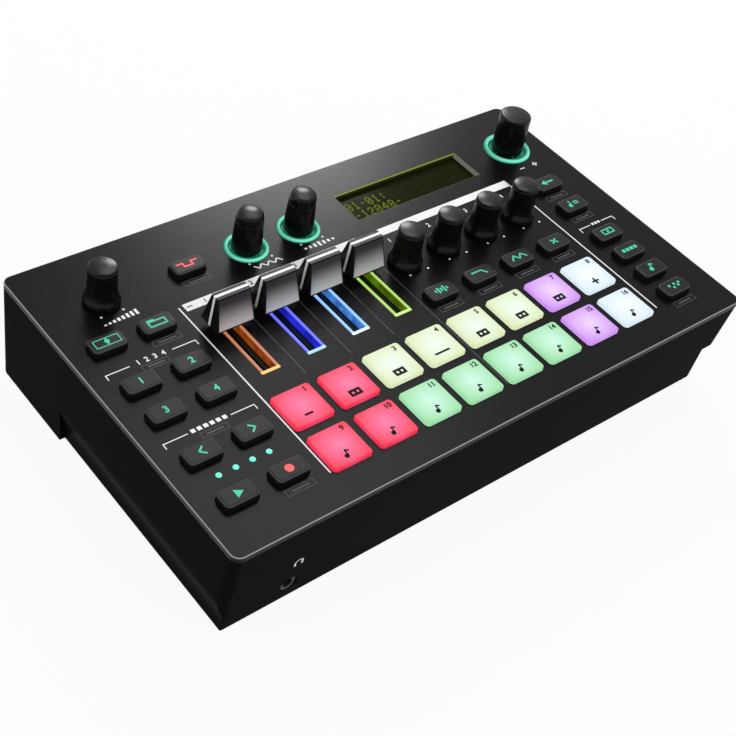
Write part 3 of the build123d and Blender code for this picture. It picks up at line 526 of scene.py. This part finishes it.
def turned(name, x, y, steps, sides):
    """A piece turned about an upright axis, drawn up ring by ring from its foot, in millimetres."""
    bpy.ops.object.select_all(action="DESELECT")
    radius, height = steps[0]
    bpy.ops.mesh.primitive_circle_add(vertices=sides, radius=radius * mm, fill_type="NGON",
                                      location=(x * mm, y * mm, height * mm))
    piece = named(name)
    bpy.ops.object.mode_set(mode="EDIT")
    bpy.ops.mesh.select_mode(type="FACE")
    bpy.ops.mesh.select_all(action="SELECT")
    for next_radius, next_height in steps[1:]:
        lift = (0, 0, (next_height - height) * mm)
        bpy.ops.mesh.extrude_region_move(TRANSFORM_OT_translate={"value": lift})
        share = next_radius / radius
        bpy.ops.transform.resize(value=(share, share, 1.0),
                                 center_override=(x * mm, y * mm, next_height * mm))
        radius, height = next_radius, next_height
    bpy.ops.mesh.select_all(action="SELECT")
    bpy.ops.mesh.normals_make_consistent(inside=False)
    return piece


def pick(piece, kind, wanted):
    """Selects the verts, edges or faces of a piece in edit mode that pass a test."""
    bpy.ops.mesh.select_all(action="DESELECT")
    mesh = bmesh.from_edit_mesh(piece.data)
    for element in {"verts": mesh.verts, "edges": mesh.edges, "faces": mesh.faces}[kind]:
        element.select_set(wanted(element))
    mesh.select_flush_mode()
    bmesh.update_edit_mesh(piece.data)


def pick_faces(piece, wanted):
    """Selects faces by a test on the face and its middle, in millimetres."""
    pick(piece, "faces", lambda face: wanted(face, piece.matrix_world @ face.calc_center_median() / mm))


flute_lip, steep, knob_smooth = 0.08, 0.8, 32


def flute(piece, place, low_level, high_level, sides, every, depth):
    """Sinks every second or third face column of a turned piece into a flute, between two heights."""
    def in_flute(face, middle):
        turn_share = math.atan2(middle.y - place.y, middle.x - place.x) / (2 * math.pi)
        upright = abs(face.normal.z) < steep
        return upright and low_level < middle.z < high_level and math.floor(turn_share * sides) % every == 0
    pick_faces(piece, in_flute)
    bpy.ops.mesh.inset(thickness=flute_lip * mm, depth=-depth * mm, use_individual=True)


def copied(piece, name, x, y):
    """A copy of a finished piece with its own mesh, moved across by millimetres."""
    select_only(piece)
    bpy.ops.object.duplicate(linked=False)
    copy = named(name)
    copy.parent = None
    copy["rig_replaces"] = []
    bpy.ops.transform.translate(value=(x * mm, y * mm, 0))
    return copy


def smooth(piece, angle):
    """Rounds the shading of a piece over edges flatter than an angle."""
    select_only(piece)
    bpy.ops.object.shade_smooth_by_angle(angle=math.radians(angle))


def end_knobs(pattern, knobs):
    """Finishes the knob that was modelled, then copies it to the other knobs of its kind."""
    smooth(pattern, knob_smooth)
    end_piece(pattern, knob_black, knobs[0])
    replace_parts(pattern, knobs[0])
    for knob in knobs[1:]:
        shift = middle_of(knob) - middle_of(knobs[0])
        copy = copied(pattern, "knob_body_" + knob, shift.x, shift.y)
        end_piece(copy, knob_black, knob)
        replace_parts(copy, knob)


shaft_radius, knob_gap, flute_depth = 3.0, 0.8, 0.05


def knob_pattern(knob, sides, foot, lower, upper):
    """A knob on its shaft, from radii with heights over the panel, then radii with drops from the top."""
    shaft_foot, top = levels_of(knob)
    knob_foot = panel_top + knob_gap
    steps = [(shaft_radius, shaft_foot), (shaft_radius, knob_foot), (foot, knob_foot)]
    steps += [(radius, panel_top + rise) for radius, rise in lower]
    steps += [(radius, top - drop) for radius, drop in upper]
    centre = middle_of(knob)
    return turned("knob_body_" + knob, centre.x, centre.y, steps, sides)


skirted = ["volume_knob"] + ["control_knob_%d" % number for number in range(1, 5)]
first = middle_of("volume_knob")
knob_top = levels_of("volume_knob")[1]
skirted_sides, scallop_depth, rim_depth = 72, 0.12, 0.16
pattern = knob_pattern(
    "volume_knob", skirted_sides, 6.1,
    ((6.3, 1.0), (6.3, 1.8), (6.05, 2.4), (5.62, 3.2), (5.28, 4.2), (5.1, 5.4), (4.98, 7.5)),
    ((4.87, 4.6), (4.82, 2.75), (4.86, 2.55), (4.86, 1.45), (4.6, 1.3), (4.5, 1.0), (4.68, 0.85),
     (4.66, 0.4), (4.46, 0.13), (4.2, 0.03), (0.6, 0.0)))
flute(pattern, first, panel_top + 5.5, knob_top - 2.8, skirted_sides, 3, flute_depth)
flute(pattern, first, panel_top + 1.0, panel_top + 1.8, skirted_sides, 3, scallop_depth)
flute(pattern, first, knob_top - 2.5, knob_top - 1.5, skirted_sides, 2, rim_depth)
end_knobs(pattern, skirted)

first = middle_of("effect_knob_1")
knob_top = levels_of("effect_knob_1")[1]
effect_sides = 64
pattern = knob_pattern(
    "effect_knob_1", effect_sides, 5.35, ((5.5, 1.0),),
    ((4.9, 4.5), (4.66, 4.35), (4.66, 4.05), (4.86, 3.9), (4.74, 1.95), (4.55, 1.15), (4.05, 0.5),
     (2.9, 0.14), (0.5, 0.0)))
flute(pattern, first, panel_top + 1.1, knob_top - 4.6, effect_sides, 2, flute_depth)
end_knobs(pattern, ["effect_knob_1", "effect_knob_2"])

first = middle_of("value_knob")
knob_top = levels_of("value_knob")[1]
value_sides = 72
pattern = knob_pattern(
    "value_knob", value_sides, 6.0, ((6.2, 1.0),),
    ((6.15, 4.4), (5.95, 4.3), (5.95, 4.0), (6.12, 3.9), (6.12, 0.9), (5.98, 0.42), (5.66, 0.14),
     (5.2, 0.04), (0.6, 0.0)))
flute(pattern, first, panel_top + 1.1, knob_top - 4.5, value_sides, 2, flute_depth)
end_knobs(pattern, ["value_knob"])

# Lit rings and beat lights: clear plastic rings pressed in round three knobs, each with a dim web inside it,
# and four small domes, all lit from below in sea green. The rings are brighter on the player's side.
ring_teal = lit("ring_teal", (0.002, 0.10, 0.055), (0.24, 0.98, 0.72), (0.01, 0.11, 0.07), specular=0.15)
facing = parts_of(ring_teal, "Normal")
crown = ramp(ring_teal, facing["Y"], start=0.55, end=-0.75)
flank = ramp(ring_teal, facing["Z"], start=0.15, end=0.75, low=0.25)
above_web = ramp(ring_teal, parts_of(ring_teal, "Object")["Z"], start=(panel_top - 0.5) * mm,
                 end=(panel_top + 0.3) * mm)
drive_glow(ring_teal, product(ring_teal, product(ring_teal, crown, flank), above_web))
ring_rise, ring_root, ring_split, ring_sides, ring_smooth = 0.12, 1.7, 0.02, 72, 50
web_drop, web_inset, web_radius, web_flat = 0.9, 1.0, 1.2, 0.15


def as_light_guide(piece, finish):
    """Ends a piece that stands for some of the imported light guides."""
    end_piece(piece, finish, "root")
    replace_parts(piece, "light_guides")


ring_sizes = {"effect_knob_1": (6.4, 7.95), "effect_knob_2": (6.4, 7.95), "value_knob": (7.5, 9.4)}
for knob, (inner, outer) in ring_sizes.items():
    centre = middle_of(knob)
    ring_place = (centre.x * mm, centre.y * mm, (panel_top + ring_rise) * mm)
    bpy.ops.object.select_all(action="DESELECT")
    bpy.ops.mesh.primitive_torus_add(major_radius=(inner + outer) / 2 * mm,
                                     minor_radius=(outer - inner) / 2 * mm,
                                     major_segments=ring_sides, minor_segments=20, location=ring_place)
    ring = named("lit_ring_" + knob)
    bpy.ops.object.mode_set(mode="EDIT")
    bpy.ops.mesh.select_mode(type="VERT")
    pick(ring, "verts", lambda corner: corner.co.z < -ring_split * mm)
    bpy.ops.transform.translate(value=(0, 0, -ring_root * mm))
    bpy.ops.mesh.select_all(action="DESELECT")
    web_place = (centre.x * mm, centre.y * mm, (panel_top - web_drop) * mm)
    bpy.ops.mesh.primitive_torus_add(major_radius=(inner - web_inset) * mm, minor_radius=web_radius * mm,
                                     major_segments=ring_sides, minor_segments=8, location=web_place)
    bpy.ops.transform.resize(value=(1.0, 1.0, web_flat), center_override=web_place)
    smooth(ring, ring_smooth)
    as_light_guide(ring, ring_teal)

beat_green = lit("beat_green", (0.10, 0.80, 0.55), (0.25, 1.0, 0.75), (0.05, 0.25, 0.18))
beat_lights = start_piece("beat_lights")
beat_count, beat_pitch, beat_radius, beat_flat, beat_sink, beat_smooth = 4, 6.07, 1.0, 0.35, 0.1, 60
beat_shift, beat_rise = 0.4, 10.05
centre = middle_of("play_button")
for step in range(beat_count):
    place = (centre.x + beat_shift + step * beat_pitch, centre.y + beat_rise, panel_top - beat_sink)
    bpy.ops.mesh.primitive_uv_sphere_add(segments=24, ring_count=12, radius=beat_radius * mm,
                                         scale=(1, 1, beat_flat), location=[value * mm for value in place])
smooth(beat_lights, beat_smooth)
as_light_guide(beat_lights, beat_green)

# Fader slots: clear moulded frames in four colours, let into the panel, with a bright rim
# and deeper coloured walls that lead down to the slit of the slide pot.
slot_colours = {
    1: ((0.26, 0.050, 0.005), (0.50, 0.20, 0.10), (1.0, 0.62, 0.18)),
    2: ((0.016, 0.024, 0.66), (0.16, 0.18, 0.95), (0.48, 0.78, 1.0)),
    3: ((0.055, 0.21, 0.64), (0.34, 0.60, 1.0), (0.84, 0.96, 1.0)),
    4: ((0.080, 0.15, 0.003), (0.45, 0.72, 0.15), (0.62, 0.88, 0.26)),
}
slot_top = panel_top + 0.3
slot_foot = levels_of("light_guides")[0] - 0.45
slot_width, slot_length, slot_wall, fader_reach = 7.2, 29.3, 1.05, 10.0
slot_edge, slot_smooth, flat_face = 0.22, 40, 0.9
slot_body_share, dark_cloud, bright_cloud = 0.2, 0.5, 1.1


def start_box(name, middle, size):
    """A box in edit mode with its size and place in its mesh, in millimetres."""
    bpy.ops.object.select_all(action="DESELECT")
    bpy.ops.mesh.primitive_cube_add(size=1.0, location=[value * mm for value in middle])
    piece = named(name)
    piece.scale = [side * mm for side in size]
    bpy.ops.object.transform_apply(location=True, rotation=True, scale=True)
    bpy.ops.object.mode_set(mode="EDIT")
    bpy.ops.mesh.select_mode(type="FACE")
    return piece


def hollow_through(piece, wall):
    """Opens a box from top to bottom, leaving walls of an even thickness."""
    pick_faces(piece, lambda face, middle: abs(face.normal.z) > flat_face)
    bpy.ops.mesh.inset(thickness=wall * mm)
    bpy.ops.mesh.bridge_edge_loops()


for number, (deep, rim, front) in slot_colours.items():
    centre = middle_of("fader_cap_%d" % number)
    frame_y = centre.y - fader_reach
    front_wall = frame_y - slot_length / 2 + slot_wall
    body = tuple(slot_body_share * c for c in deep)
    tinted = lit("slot_glow_%d" % number, deep, rim, body, rough=0.25)
    nodes, links = tinted.node_tree.nodes, tinted.node_tree.links
    place = parts_of(tinted, "Object")
    drive_glow(tinted, ramp(tinted, place["Z"], start=(slot_top - 0.5) * mm, end=(slot_top - 0.05) * mm))
    clouds = ramp(tinted, nodes["Group"].outputs["Shade"], start=0.38, end=0.62)
    streaks = blended(tinted, clouds, tuple(dark_cloud * c for c in deep),
                      tuple(bright_cloud * c for c in deep))
    links.new(streaks.outputs["Result"], nodes["glow"].inputs["A"])
    near = ramp(tinted, place["Y"], start=(front_wall + 0.1) * mm, end=(front_wall - 0.3) * mm)
    flare = blended(tinted, near, nodes["glow"].outputs["Result"], front)
    links.new(flare.outputs["Result"], nodes["Principled BSDF"].inputs["Emission Color"])
    slot_frame = start_box("fader_slot_%d" % number, (centre.x, frame_y, (slot_foot + slot_top) / 2),
                           (slot_width, slot_length, slot_top - slot_foot))
    hollow_through(slot_frame, slot_wall)
    bpy.ops.object.mode_set(mode="OBJECT")
    soft_edge = slot_frame.modifiers.new("soft_edge", "BEVEL")
    soft_edge.width = slot_edge * mm
    soft_edge.segments = 3
    bpy.ops.object.modifier_apply(modifier="soft_edge")
    smooth(slot_frame, slot_smooth)
    as_light_guide(slot_frame, tinted)

# Fader caps: tapered black caps with a hollowed satin grey face at the front and at the rear,
# and a white line over the ridge and down both ends, pushed on flat levers.
# The grey faces carry painted sheen and shade: pale at their foot, darkening to near black under the ridge.
cap_black = moulded("cap_black", (0.0040, 0.0040, 0.0045), (0.0070, 0.0070, 0.0075), (0.22, 0.32),
                    specular=0.15)
cap_grey = moulded("cap_grey", (0.66, 0.66, 0.665), (0.74, 0.74, 0.745), (0.34, 0.42), patch=120.0,
                   specular=0.4, metallic=0.3)
cap_height, cap_width, cap_depth, cap_top_width, cap_top_depth, cap_lip = 11.7, 14.8, 9.9, 12.8, 3.6, 0.3
first = middle_of("fader_cap_1")
lever_foot, cap_top = levels_of("fader_cap_1")
cap_foot = cap_top - cap_height
shader = cap_grey.node_tree.nodes["Principled BSDF"]
# Painted sheen and shade: the face is pale grey at its foot and darkens to near black towards the ridge.
painted_shade_share = ramp(cap_grey, parts_of(cap_grey, "Object")["Z"], start=(cap_foot - 0.5) * mm,
            end=(cap_top - 2.0) * mm)
painted_shade_share.node.interpolation_type = "SMOOTHSTEP"
face_tone = shader.inputs["Base Color"].links[0].from_socket
painted_sheen_and_shade = blended(cap_grey, painted_shade_share, face_tone, (0.045, 0.045, 0.047))
cap_grey.node_tree.links.new(painted_sheen_and_shade.outputs["Result"], shader.inputs["Base Color"])
cap = start_box("fader_body_1", (first.x, first.y, (cap_foot + cap_top) / 2),
                (cap_width, cap_depth, cap_height))
pick_faces(cap, lambda face, middle: face.normal.z > flat_face)
bpy.ops.transform.resize(value=(cap_top_width / cap_width, cap_top_depth / cap_depth, 1.0),
                         center_override=(first.x * mm, first.y * mm, cap_top * mm))
bpy.ops.mesh.select_mode(type="EDGE")


def pick_edges(piece, wanted):
    """Selects edges by a test on their run and middle, in millimetres."""
    def passes(line):
        tail, head = (piece.matrix_world @ corner.co / mm for corner in line.verts)
        return wanted(head - tail, (head + tail) / 2)
    pick(piece, "edges", passes)


long_run, corner_round, ridge_round = 5.0, 0.45, 0.55
pick_edges(cap, lambda run, middle: abs(run.z) > long_run)
bpy.ops.mesh.bevel(offset=corner_round * mm, segments=3, affect="EDGES")
pick_edges(cap, lambda run, middle: abs(run.x) > long_run and middle.z > cap_top - 0.1)
bpy.ops.mesh.bevel(offset=ridge_round * mm, segments=4, affect="EDGES")
bpy.ops.mesh.select_mode(type="FACE")
bpy.ops.mesh.select_all(action="SELECT")
bpy.ops.mesh.bisect(plane_co=(first.x * mm, first.y * mm, (cap_foot + cap_lip) * mm), plane_no=(0, 0, 1))
for finish in (cap_black, cap_grey, white_ink):
    cap.data.materials.append(finish)
black_slot, grey_slot, white_slot = range(3)
large_face = 50 * mm * mm


def on_face(face, middle):
    """Whether a face is one of the cap's two large sloping faces, above the lip at its foot."""
    return abs(face.normal.y) > flat_face and middle.z > cap_foot + cap_lip and face.calc_area() > large_face


def colour_picked(slot):
    """Gives the faces that are selected one of the cap's finishes."""
    cap.active_material_index = slot
    bpy.ops.object.material_slot_assign()


pick_faces(cap, on_face)
for border, depth in ((0.09, -0.08), (0.06, 0.05)):
    bpy.ops.mesh.inset(thickness=border * mm, depth=depth * mm, use_individual=True)
colour_picked(grey_slot)
face_rows, hollow_depth, face_half, face_clear = 10, 1.6, 6.6, 1.2
bpy.ops.mesh.subdivide(number_cuts=face_rows - 1)
face_low, face_high = cap_foot + cap_lip + 0.15, cap_top - 0.75
row_half = (face_high - face_low) / (2 * face_rows)
bpy.ops.mesh.select_mode(type="VERT")


def in_row(corner, level, side):
    """Whether a corner lies inside one of the cap's large faces, on one row of its grid."""
    place = corner.co / mm
    inner = abs(place.x - first.x) < face_half and side * (place.y - first.y) > face_clear
    return inner and abs(place.z - level) < row_half and len(corner.link_edges) == 4


for row in range(1, face_rows):
    share = row / face_rows
    level = face_low + (face_high - face_low) * share
    for side in (-1, 1):
        pick(cap, "verts", lambda corner: in_row(corner, level, side))
        bpy.ops.transform.translate(value=(0, -side * hollow_depth * share * (1.0 - share) * mm, 0))
bpy.ops.mesh.select_mode(type="FACE")
bpy.ops.mesh.select_all(action="DESELECT")
lever_width, lever_length, lever_bite, lever_edge = 1.2, 3.0, 1.0, 0.1
lever_top = cap_foot + lever_bite
add_block(first.x, first.y, (lever_foot + lever_top) / 2, (lever_width, lever_length, lever_top - lever_foot))
bpy.ops.mesh.bevel(offset=lever_edge * mm, segments=1, affect="EDGES")
colour_picked(black_slot)
bpy.ops.mesh.select_all(action="DESELECT")
cap_line, line_over, line_lift, ridge_line, end_line, cap_smooth = 1.05, 0.1, 0.01, 0.06, 0.08, 35
slope = math.atan2((cap_width - cap_top_width) / 2, cap_height)
add_bar(first.x, first.y, cap_top_width + line_over, cap_line, cap_top + line_lift, height=ridge_line)
colour_picked(white_slot)
for side in (-1, 1):
    bpy.ops.mesh.select_all(action="DESELECT")
    add_block(first.x + side * (cap_width + cap_top_width) / 4, first.y, (cap_foot + cap_top) / 2,
              (end_line, cap_line, cap_height), (0, -side * slope, 0))
    colour_picked(white_slot)
smooth(cap, cap_smooth)
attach(cap, "fader_cap_1")
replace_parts(cap, "fader_cap_1")
for number in range(2, 5):
    name = "fader_cap_%d" % number
    shift = middle_of(name) - first
    copy = copied(cap, "fader_body_%d" % number, shift.x, shift.y)
    bpy.ops.object.transform_apply(location=True, rotation=True, scale=True)
    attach(copy, name)
    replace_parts(copy, name)

# Display: dark glass under the panel's window over a backlight, with two rows of dot characters in dim olive
# on faint cells, and a thin liner round the window whose rear side glows with painted backlight and whose
# right side carries a painted highlight.
glass = moulded("display_glass", (0.010, 0.011, 0.002), (0.013, 0.014, 0.003), (0.08, 0.12), patch=30.0,
                depth=0.002 * mm, specular=0.008)
dress("display_module", glass)
dot_olive = lit("dot_olive", (0.105, 0.120, 0.004), (0.165, 0.185, 0.008), (0.03, 0.035, 0.006),
                specular=0.008)
cell_olive = lit("cell_olive", (0.0035, 0.0040, 0.0004), (0.0055, 0.0060, 0.0008), (0.010, 0.011, 0.003),
                 rough=0.1, specular=0.008)
dot_rows = {
    "0": "01110 10001 10011 10101 11001 10001 01110", "1": "00100 01100 00100 00100 00100 00100 01110",
    "2": "01110 10001 00001 00110 01000 10000 11111", "4": "00010 00110 01010 10010 11111 00010 00010",
    "8": "01110 10001 10001 01110 10001 10001 01110", ":": "00000 00100 00100 00000 00100 00100 00000",
    "-": "00000 00000 00000 01110 00000 00000 00000"}
window_left, window_front, window_right, window_back = 13.05, 35.35, 73.35, 50.75
glass_level = levels_of("display_module")[1]
dot_x, dot_y, dot_lift = 0.47, 0.60, 0.04
text_left, text_back, row_shift, row_pitch, sign_pitch = window_left + 2.2, window_back - 4.3, 0.4, 5.3, 3.2
characters = start_piece("display_characters")
for row, text in enumerate(("01-01:", "-12048-")):
    for place, sign in enumerate(text):
        for line, bits in enumerate(dot_rows[sign].split()):
            for column, bit in enumerate(bits):
                if bit == "1":
                    x = text_left + row * row_shift + place * sign_pitch + column * dot_x
                    y = text_back - row * row_pitch - line * dot_y
                    add_bar(x, y, dot_x, dot_y, glass_level + dot_lift)
end_piece(characters, dot_olive, "root")
cell_count, cell_width, cell_depth, cell_lift, cell_height = 17, 5.6 * dot_x, 7.8 * dot_y, 0.015, 0.02
cells = start_piece("display_cells")
for row in range(2):
    for place in range(cell_count):
        x = text_left + row * row_shift + place * sign_pitch + 2 * dot_x
        y = text_back - row * row_pitch - 3 * dot_y
        add_bar(x, y, cell_width, cell_depth, glass_level + cell_lift, height=cell_height)
end_piece(cells, cell_olive, "root")

# The liner is no lamp: the glow along its rear side is painted backlight, and the pale line down its right
# side is a painted highlight.
liner_glow = lit("liner_glow", (0.006, 0.007, 0.002), (0.26, 0.30, 0.030), (0.020, 0.020, 0.012), rough=0.3,
                 specular=0.1)
nodes, links = liner_glow.node_tree.nodes, liner_glow.node_tree.links
place = parts_of(liner_glow, "Object")
rear_edge = ramp(liner_glow, place["Y"], start=(window_back - 1.0) * mm, end=(window_back - 0.2) * mm)
top_edge = ramp(liner_glow, place["Z"], start=(panel_top - 0.75) * mm, end=(panel_top - 0.35) * mm)
drive_glow(liner_glow, product(liner_glow, rear_edge, top_edge))
right_highlight_share = ramp(liner_glow, place["X"], start=(window_right - 0.6) * mm, end=(window_right - 0.4) * mm)
right_painted_highlight = blended(liner_glow, right_highlight_share, nodes["glow"].outputs["Result"], (0.13, 0.13, 0.11))
links.new(right_painted_highlight.outputs["Result"], nodes["Principled BSDF"].inputs["Emission Color"])
liner_gap, liner_drop, liner_play, liner_wall = 0.1, 0.04, 0.16, 0.3
liner_middle = ((window_left + window_right) / 2, (window_front + window_back) / 2,
                (glass_level + panel_top - liner_drop) / 2)
liner_size = (window_right - window_left - liner_gap, window_back - window_front - liner_gap,
              panel_top - glass_level - liner_play)
liner = start_box("window_liner", liner_middle, liner_size)
hollow_through(liner, liner_wall)
end_piece(liner, liner_glow, "root")

# Rear and front sockets: black moulded bodies, with plated nuts round the jacks and bright shells
# round the round sockets, a black slider on the power switch, and a plain symbol by the headphone socket.
socket_black = moulded("socket_black", (0.010, 0.010, 0.011), (0.018, 0.018, 0.019), (0.35, 0.5))
dress("connectors", socket_black)
dress("power_switch", key_black)
plated = moulded("plated_steel", (0.55, 0.55, 0.56), (0.68, 0.68, 0.69), (0.2, 0.32), grain=1200.0,
                 specular=0.5, metallic=1.0)
nut_face, nut_flat, nut_smooth = 66.45, 0.6, 60
nut_sizes = {"jack_nut_1": (-56.0, 15.85, 5.3, 0.75), "jack_nut_2": (-80.64, 15.85, 5.3, 0.75),
             "din_shell_1": (2.24, 18.85, 7.75, 0.3), "din_shell_2": (-26.88, 18.85, 7.75, 0.3)}
for name, (x, z, major, minor) in nut_sizes.items():
    nut_place = (x * mm, nut_face * mm, z * mm)
    bpy.ops.object.select_all(action="DESELECT")
    bpy.ops.mesh.primitive_torus_add(major_radius=major * mm, minor_radius=minor * mm, major_segments=48,
                                     minor_segments=12, rotation=(math.pi / 2, 0, 0), location=nut_place)
    nut = named(name)
    bpy.ops.object.mode_set(mode="EDIT")
    bpy.ops.mesh.select_all(action="SELECT")
    bpy.ops.transform.resize(value=(1.0, nut_flat, 1.0), center_override=nut_place)
    smooth(nut, nut_smooth)
    end_piece(nut, plated, "root")
phones_symbol = start_piece("phones_symbol")
symbol = Vector((-84.9, -64.1, 20.2))
wall_lean = 4.6 / 40.9
arc_radius, arc_steps, arc_block = 1.5, 8, (0.3, 0.14, 0.62)
for step in range(arc_steps + 1):
    turn = math.pi * step / arc_steps
    rise = arc_radius * math.sin(turn)
    add_block(symbol.x + arc_radius * math.cos(turn), symbol.y - wall_lean * rise, symbol.z + rise, arc_block,
              (0, math.pi / 2 - turn, 0))
cup_reach, cup_drop, cup_block = 1.35, 0.6, (0.65, 0.14, 1.2)
for side in (-1, 1):
    add_block(symbol.x + side * cup_reach, symbol.y + wall_lean * cup_drop, symbol.z - cup_drop, cup_block)
end_piece(phones_symbol, white_ink, "root")

# Studio: a pale floor, an even white surround, a soft light from behind that lies as a sheen on the panel,
# weaker ones from above, the left and the front, and the camera at the photograph's place.


def seen_directly(tree):
    """1 for what the camera sees straight, in a reflection or through glass, 0 for other light."""
    rays = tree.nodes.new("ShaderNodeLightPath")
    seen = rays.outputs["Is Camera Ray"]
    for kind in ("Is Glossy Ray", "Is Transmission Ray"):
        either = tree.nodes.new("ShaderNodeMath")
        either.operation = "MAXIMUM"
        tree.links.new(seen, either.inputs[0])
        tree.links.new(rays.outputs[kind], either.inputs[1])
        seen = either.outputs["Value"]
    return seen


floor_share, floor_size, floor_level = 0.93, 6.0, -0.0002
floor_pale = bpy.data.materials.new("floor_pale")
floor_pale.use_nodes = True
nodes, links = floor_pale.node_tree.nodes, floor_pale.node_tree.links
nodes.clear()
paper = nodes.new("ShaderNodeBsdfDiffuse")
paper.inputs["Color"].default_value = (0.86, 0.86, 0.86, 1.0)
white = nodes.new("ShaderNodeEmission")
share = ramp(floor_pale, seen_directly(floor_pale.node_tree), start=0.0, end=1.0, high=floor_share)
blend = nodes.new("ShaderNodeMixShader")
links.new(share, blend.inputs["Fac"])
links.new(paper.outputs["BSDF"], blend.inputs[1])
links.new(white.outputs["Emission"], blend.inputs[2])
ground = nodes.new("ShaderNodeOutputMaterial")
links.new(blend.outputs["Shader"], ground.inputs["Surface"])
bpy.ops.object.select_all(action="DESELECT")
bpy.ops.mesh.primitive_plane_add(size=floor_size, location=(0, 0, floor_level))
floor = bpy.context.active_object
floor.name = "floor"
floor.data.materials.append(floor_pale)

surround_light = 0.48
surround = bpy.data.worlds.new("surround")
bpy.context.scene.world = surround
surround.use_nodes = True
sky = surround.node_tree.nodes["Background"]
sky.inputs["Color"].default_value = (1.0, 1.0, 1.0, 1.0)
strength = ramp(surround, seen_directly(surround.node_tree), start=0.0, end=1.0, low=surround_light)
surround.node_tree.links.new(strength, sky.inputs["Strength"])

lamps = {"rear_light": ((0.655, 0.838, 0.67), (0.0, 0.06, 0.04), 0.26, 4.9),
         "high_light": ((0.38, 0.43, 0.98), (-0.08, -0.04, 0.04), 0.45, 3.0),
         "left_light": ((-0.95, 0.25, 0.55), (0.0, 0.0, 0.03), 0.5, 1.6),
         "front_light": ((0.3, -1.0, 0.9), (0.0, 0.0, 0.03), 0.6, 3.5)}
for name, (spot, aim, size, power) in lamps.items():
    bpy.ops.object.light_add(type="AREA", location=spot)
    lamp = bpy.context.active_object
    lamp.name = name
    lamp.data.shape = "SQUARE"
    lamp.data.size = size
    lamp.data.energy = power
    lamp.rotation_euler = (Vector(aim) - Vector(spot)).to_track_quat("-Z", "Y").to_euler()

camera_place = (-0.2714, -0.2415, 0.3508)
camera_right = Vector((0.76827834, -0.61888148, 0.16350569))
camera_down = Vector((-0.34879571, -0.61892392, -0.70375758))
camera_ahead = Vector((0.53674011, 0.48365162, -0.69136905))
bpy.ops.object.camera_add()
camera = bpy.context.active_object
camera.data.lens = 68.04
camera.data.sensor_width = 36.0
camera.data.clip_start = 0.01
turn = Matrix((camera_right, -camera_down, -camera_ahead)).transposed().to_4x4()
camera.matrix_world = Matrix.Translation(camera_place) @ turn
bpy.context.scene.camera = camera
bpy.context.scene.view_settings.view_transform = "Standard"
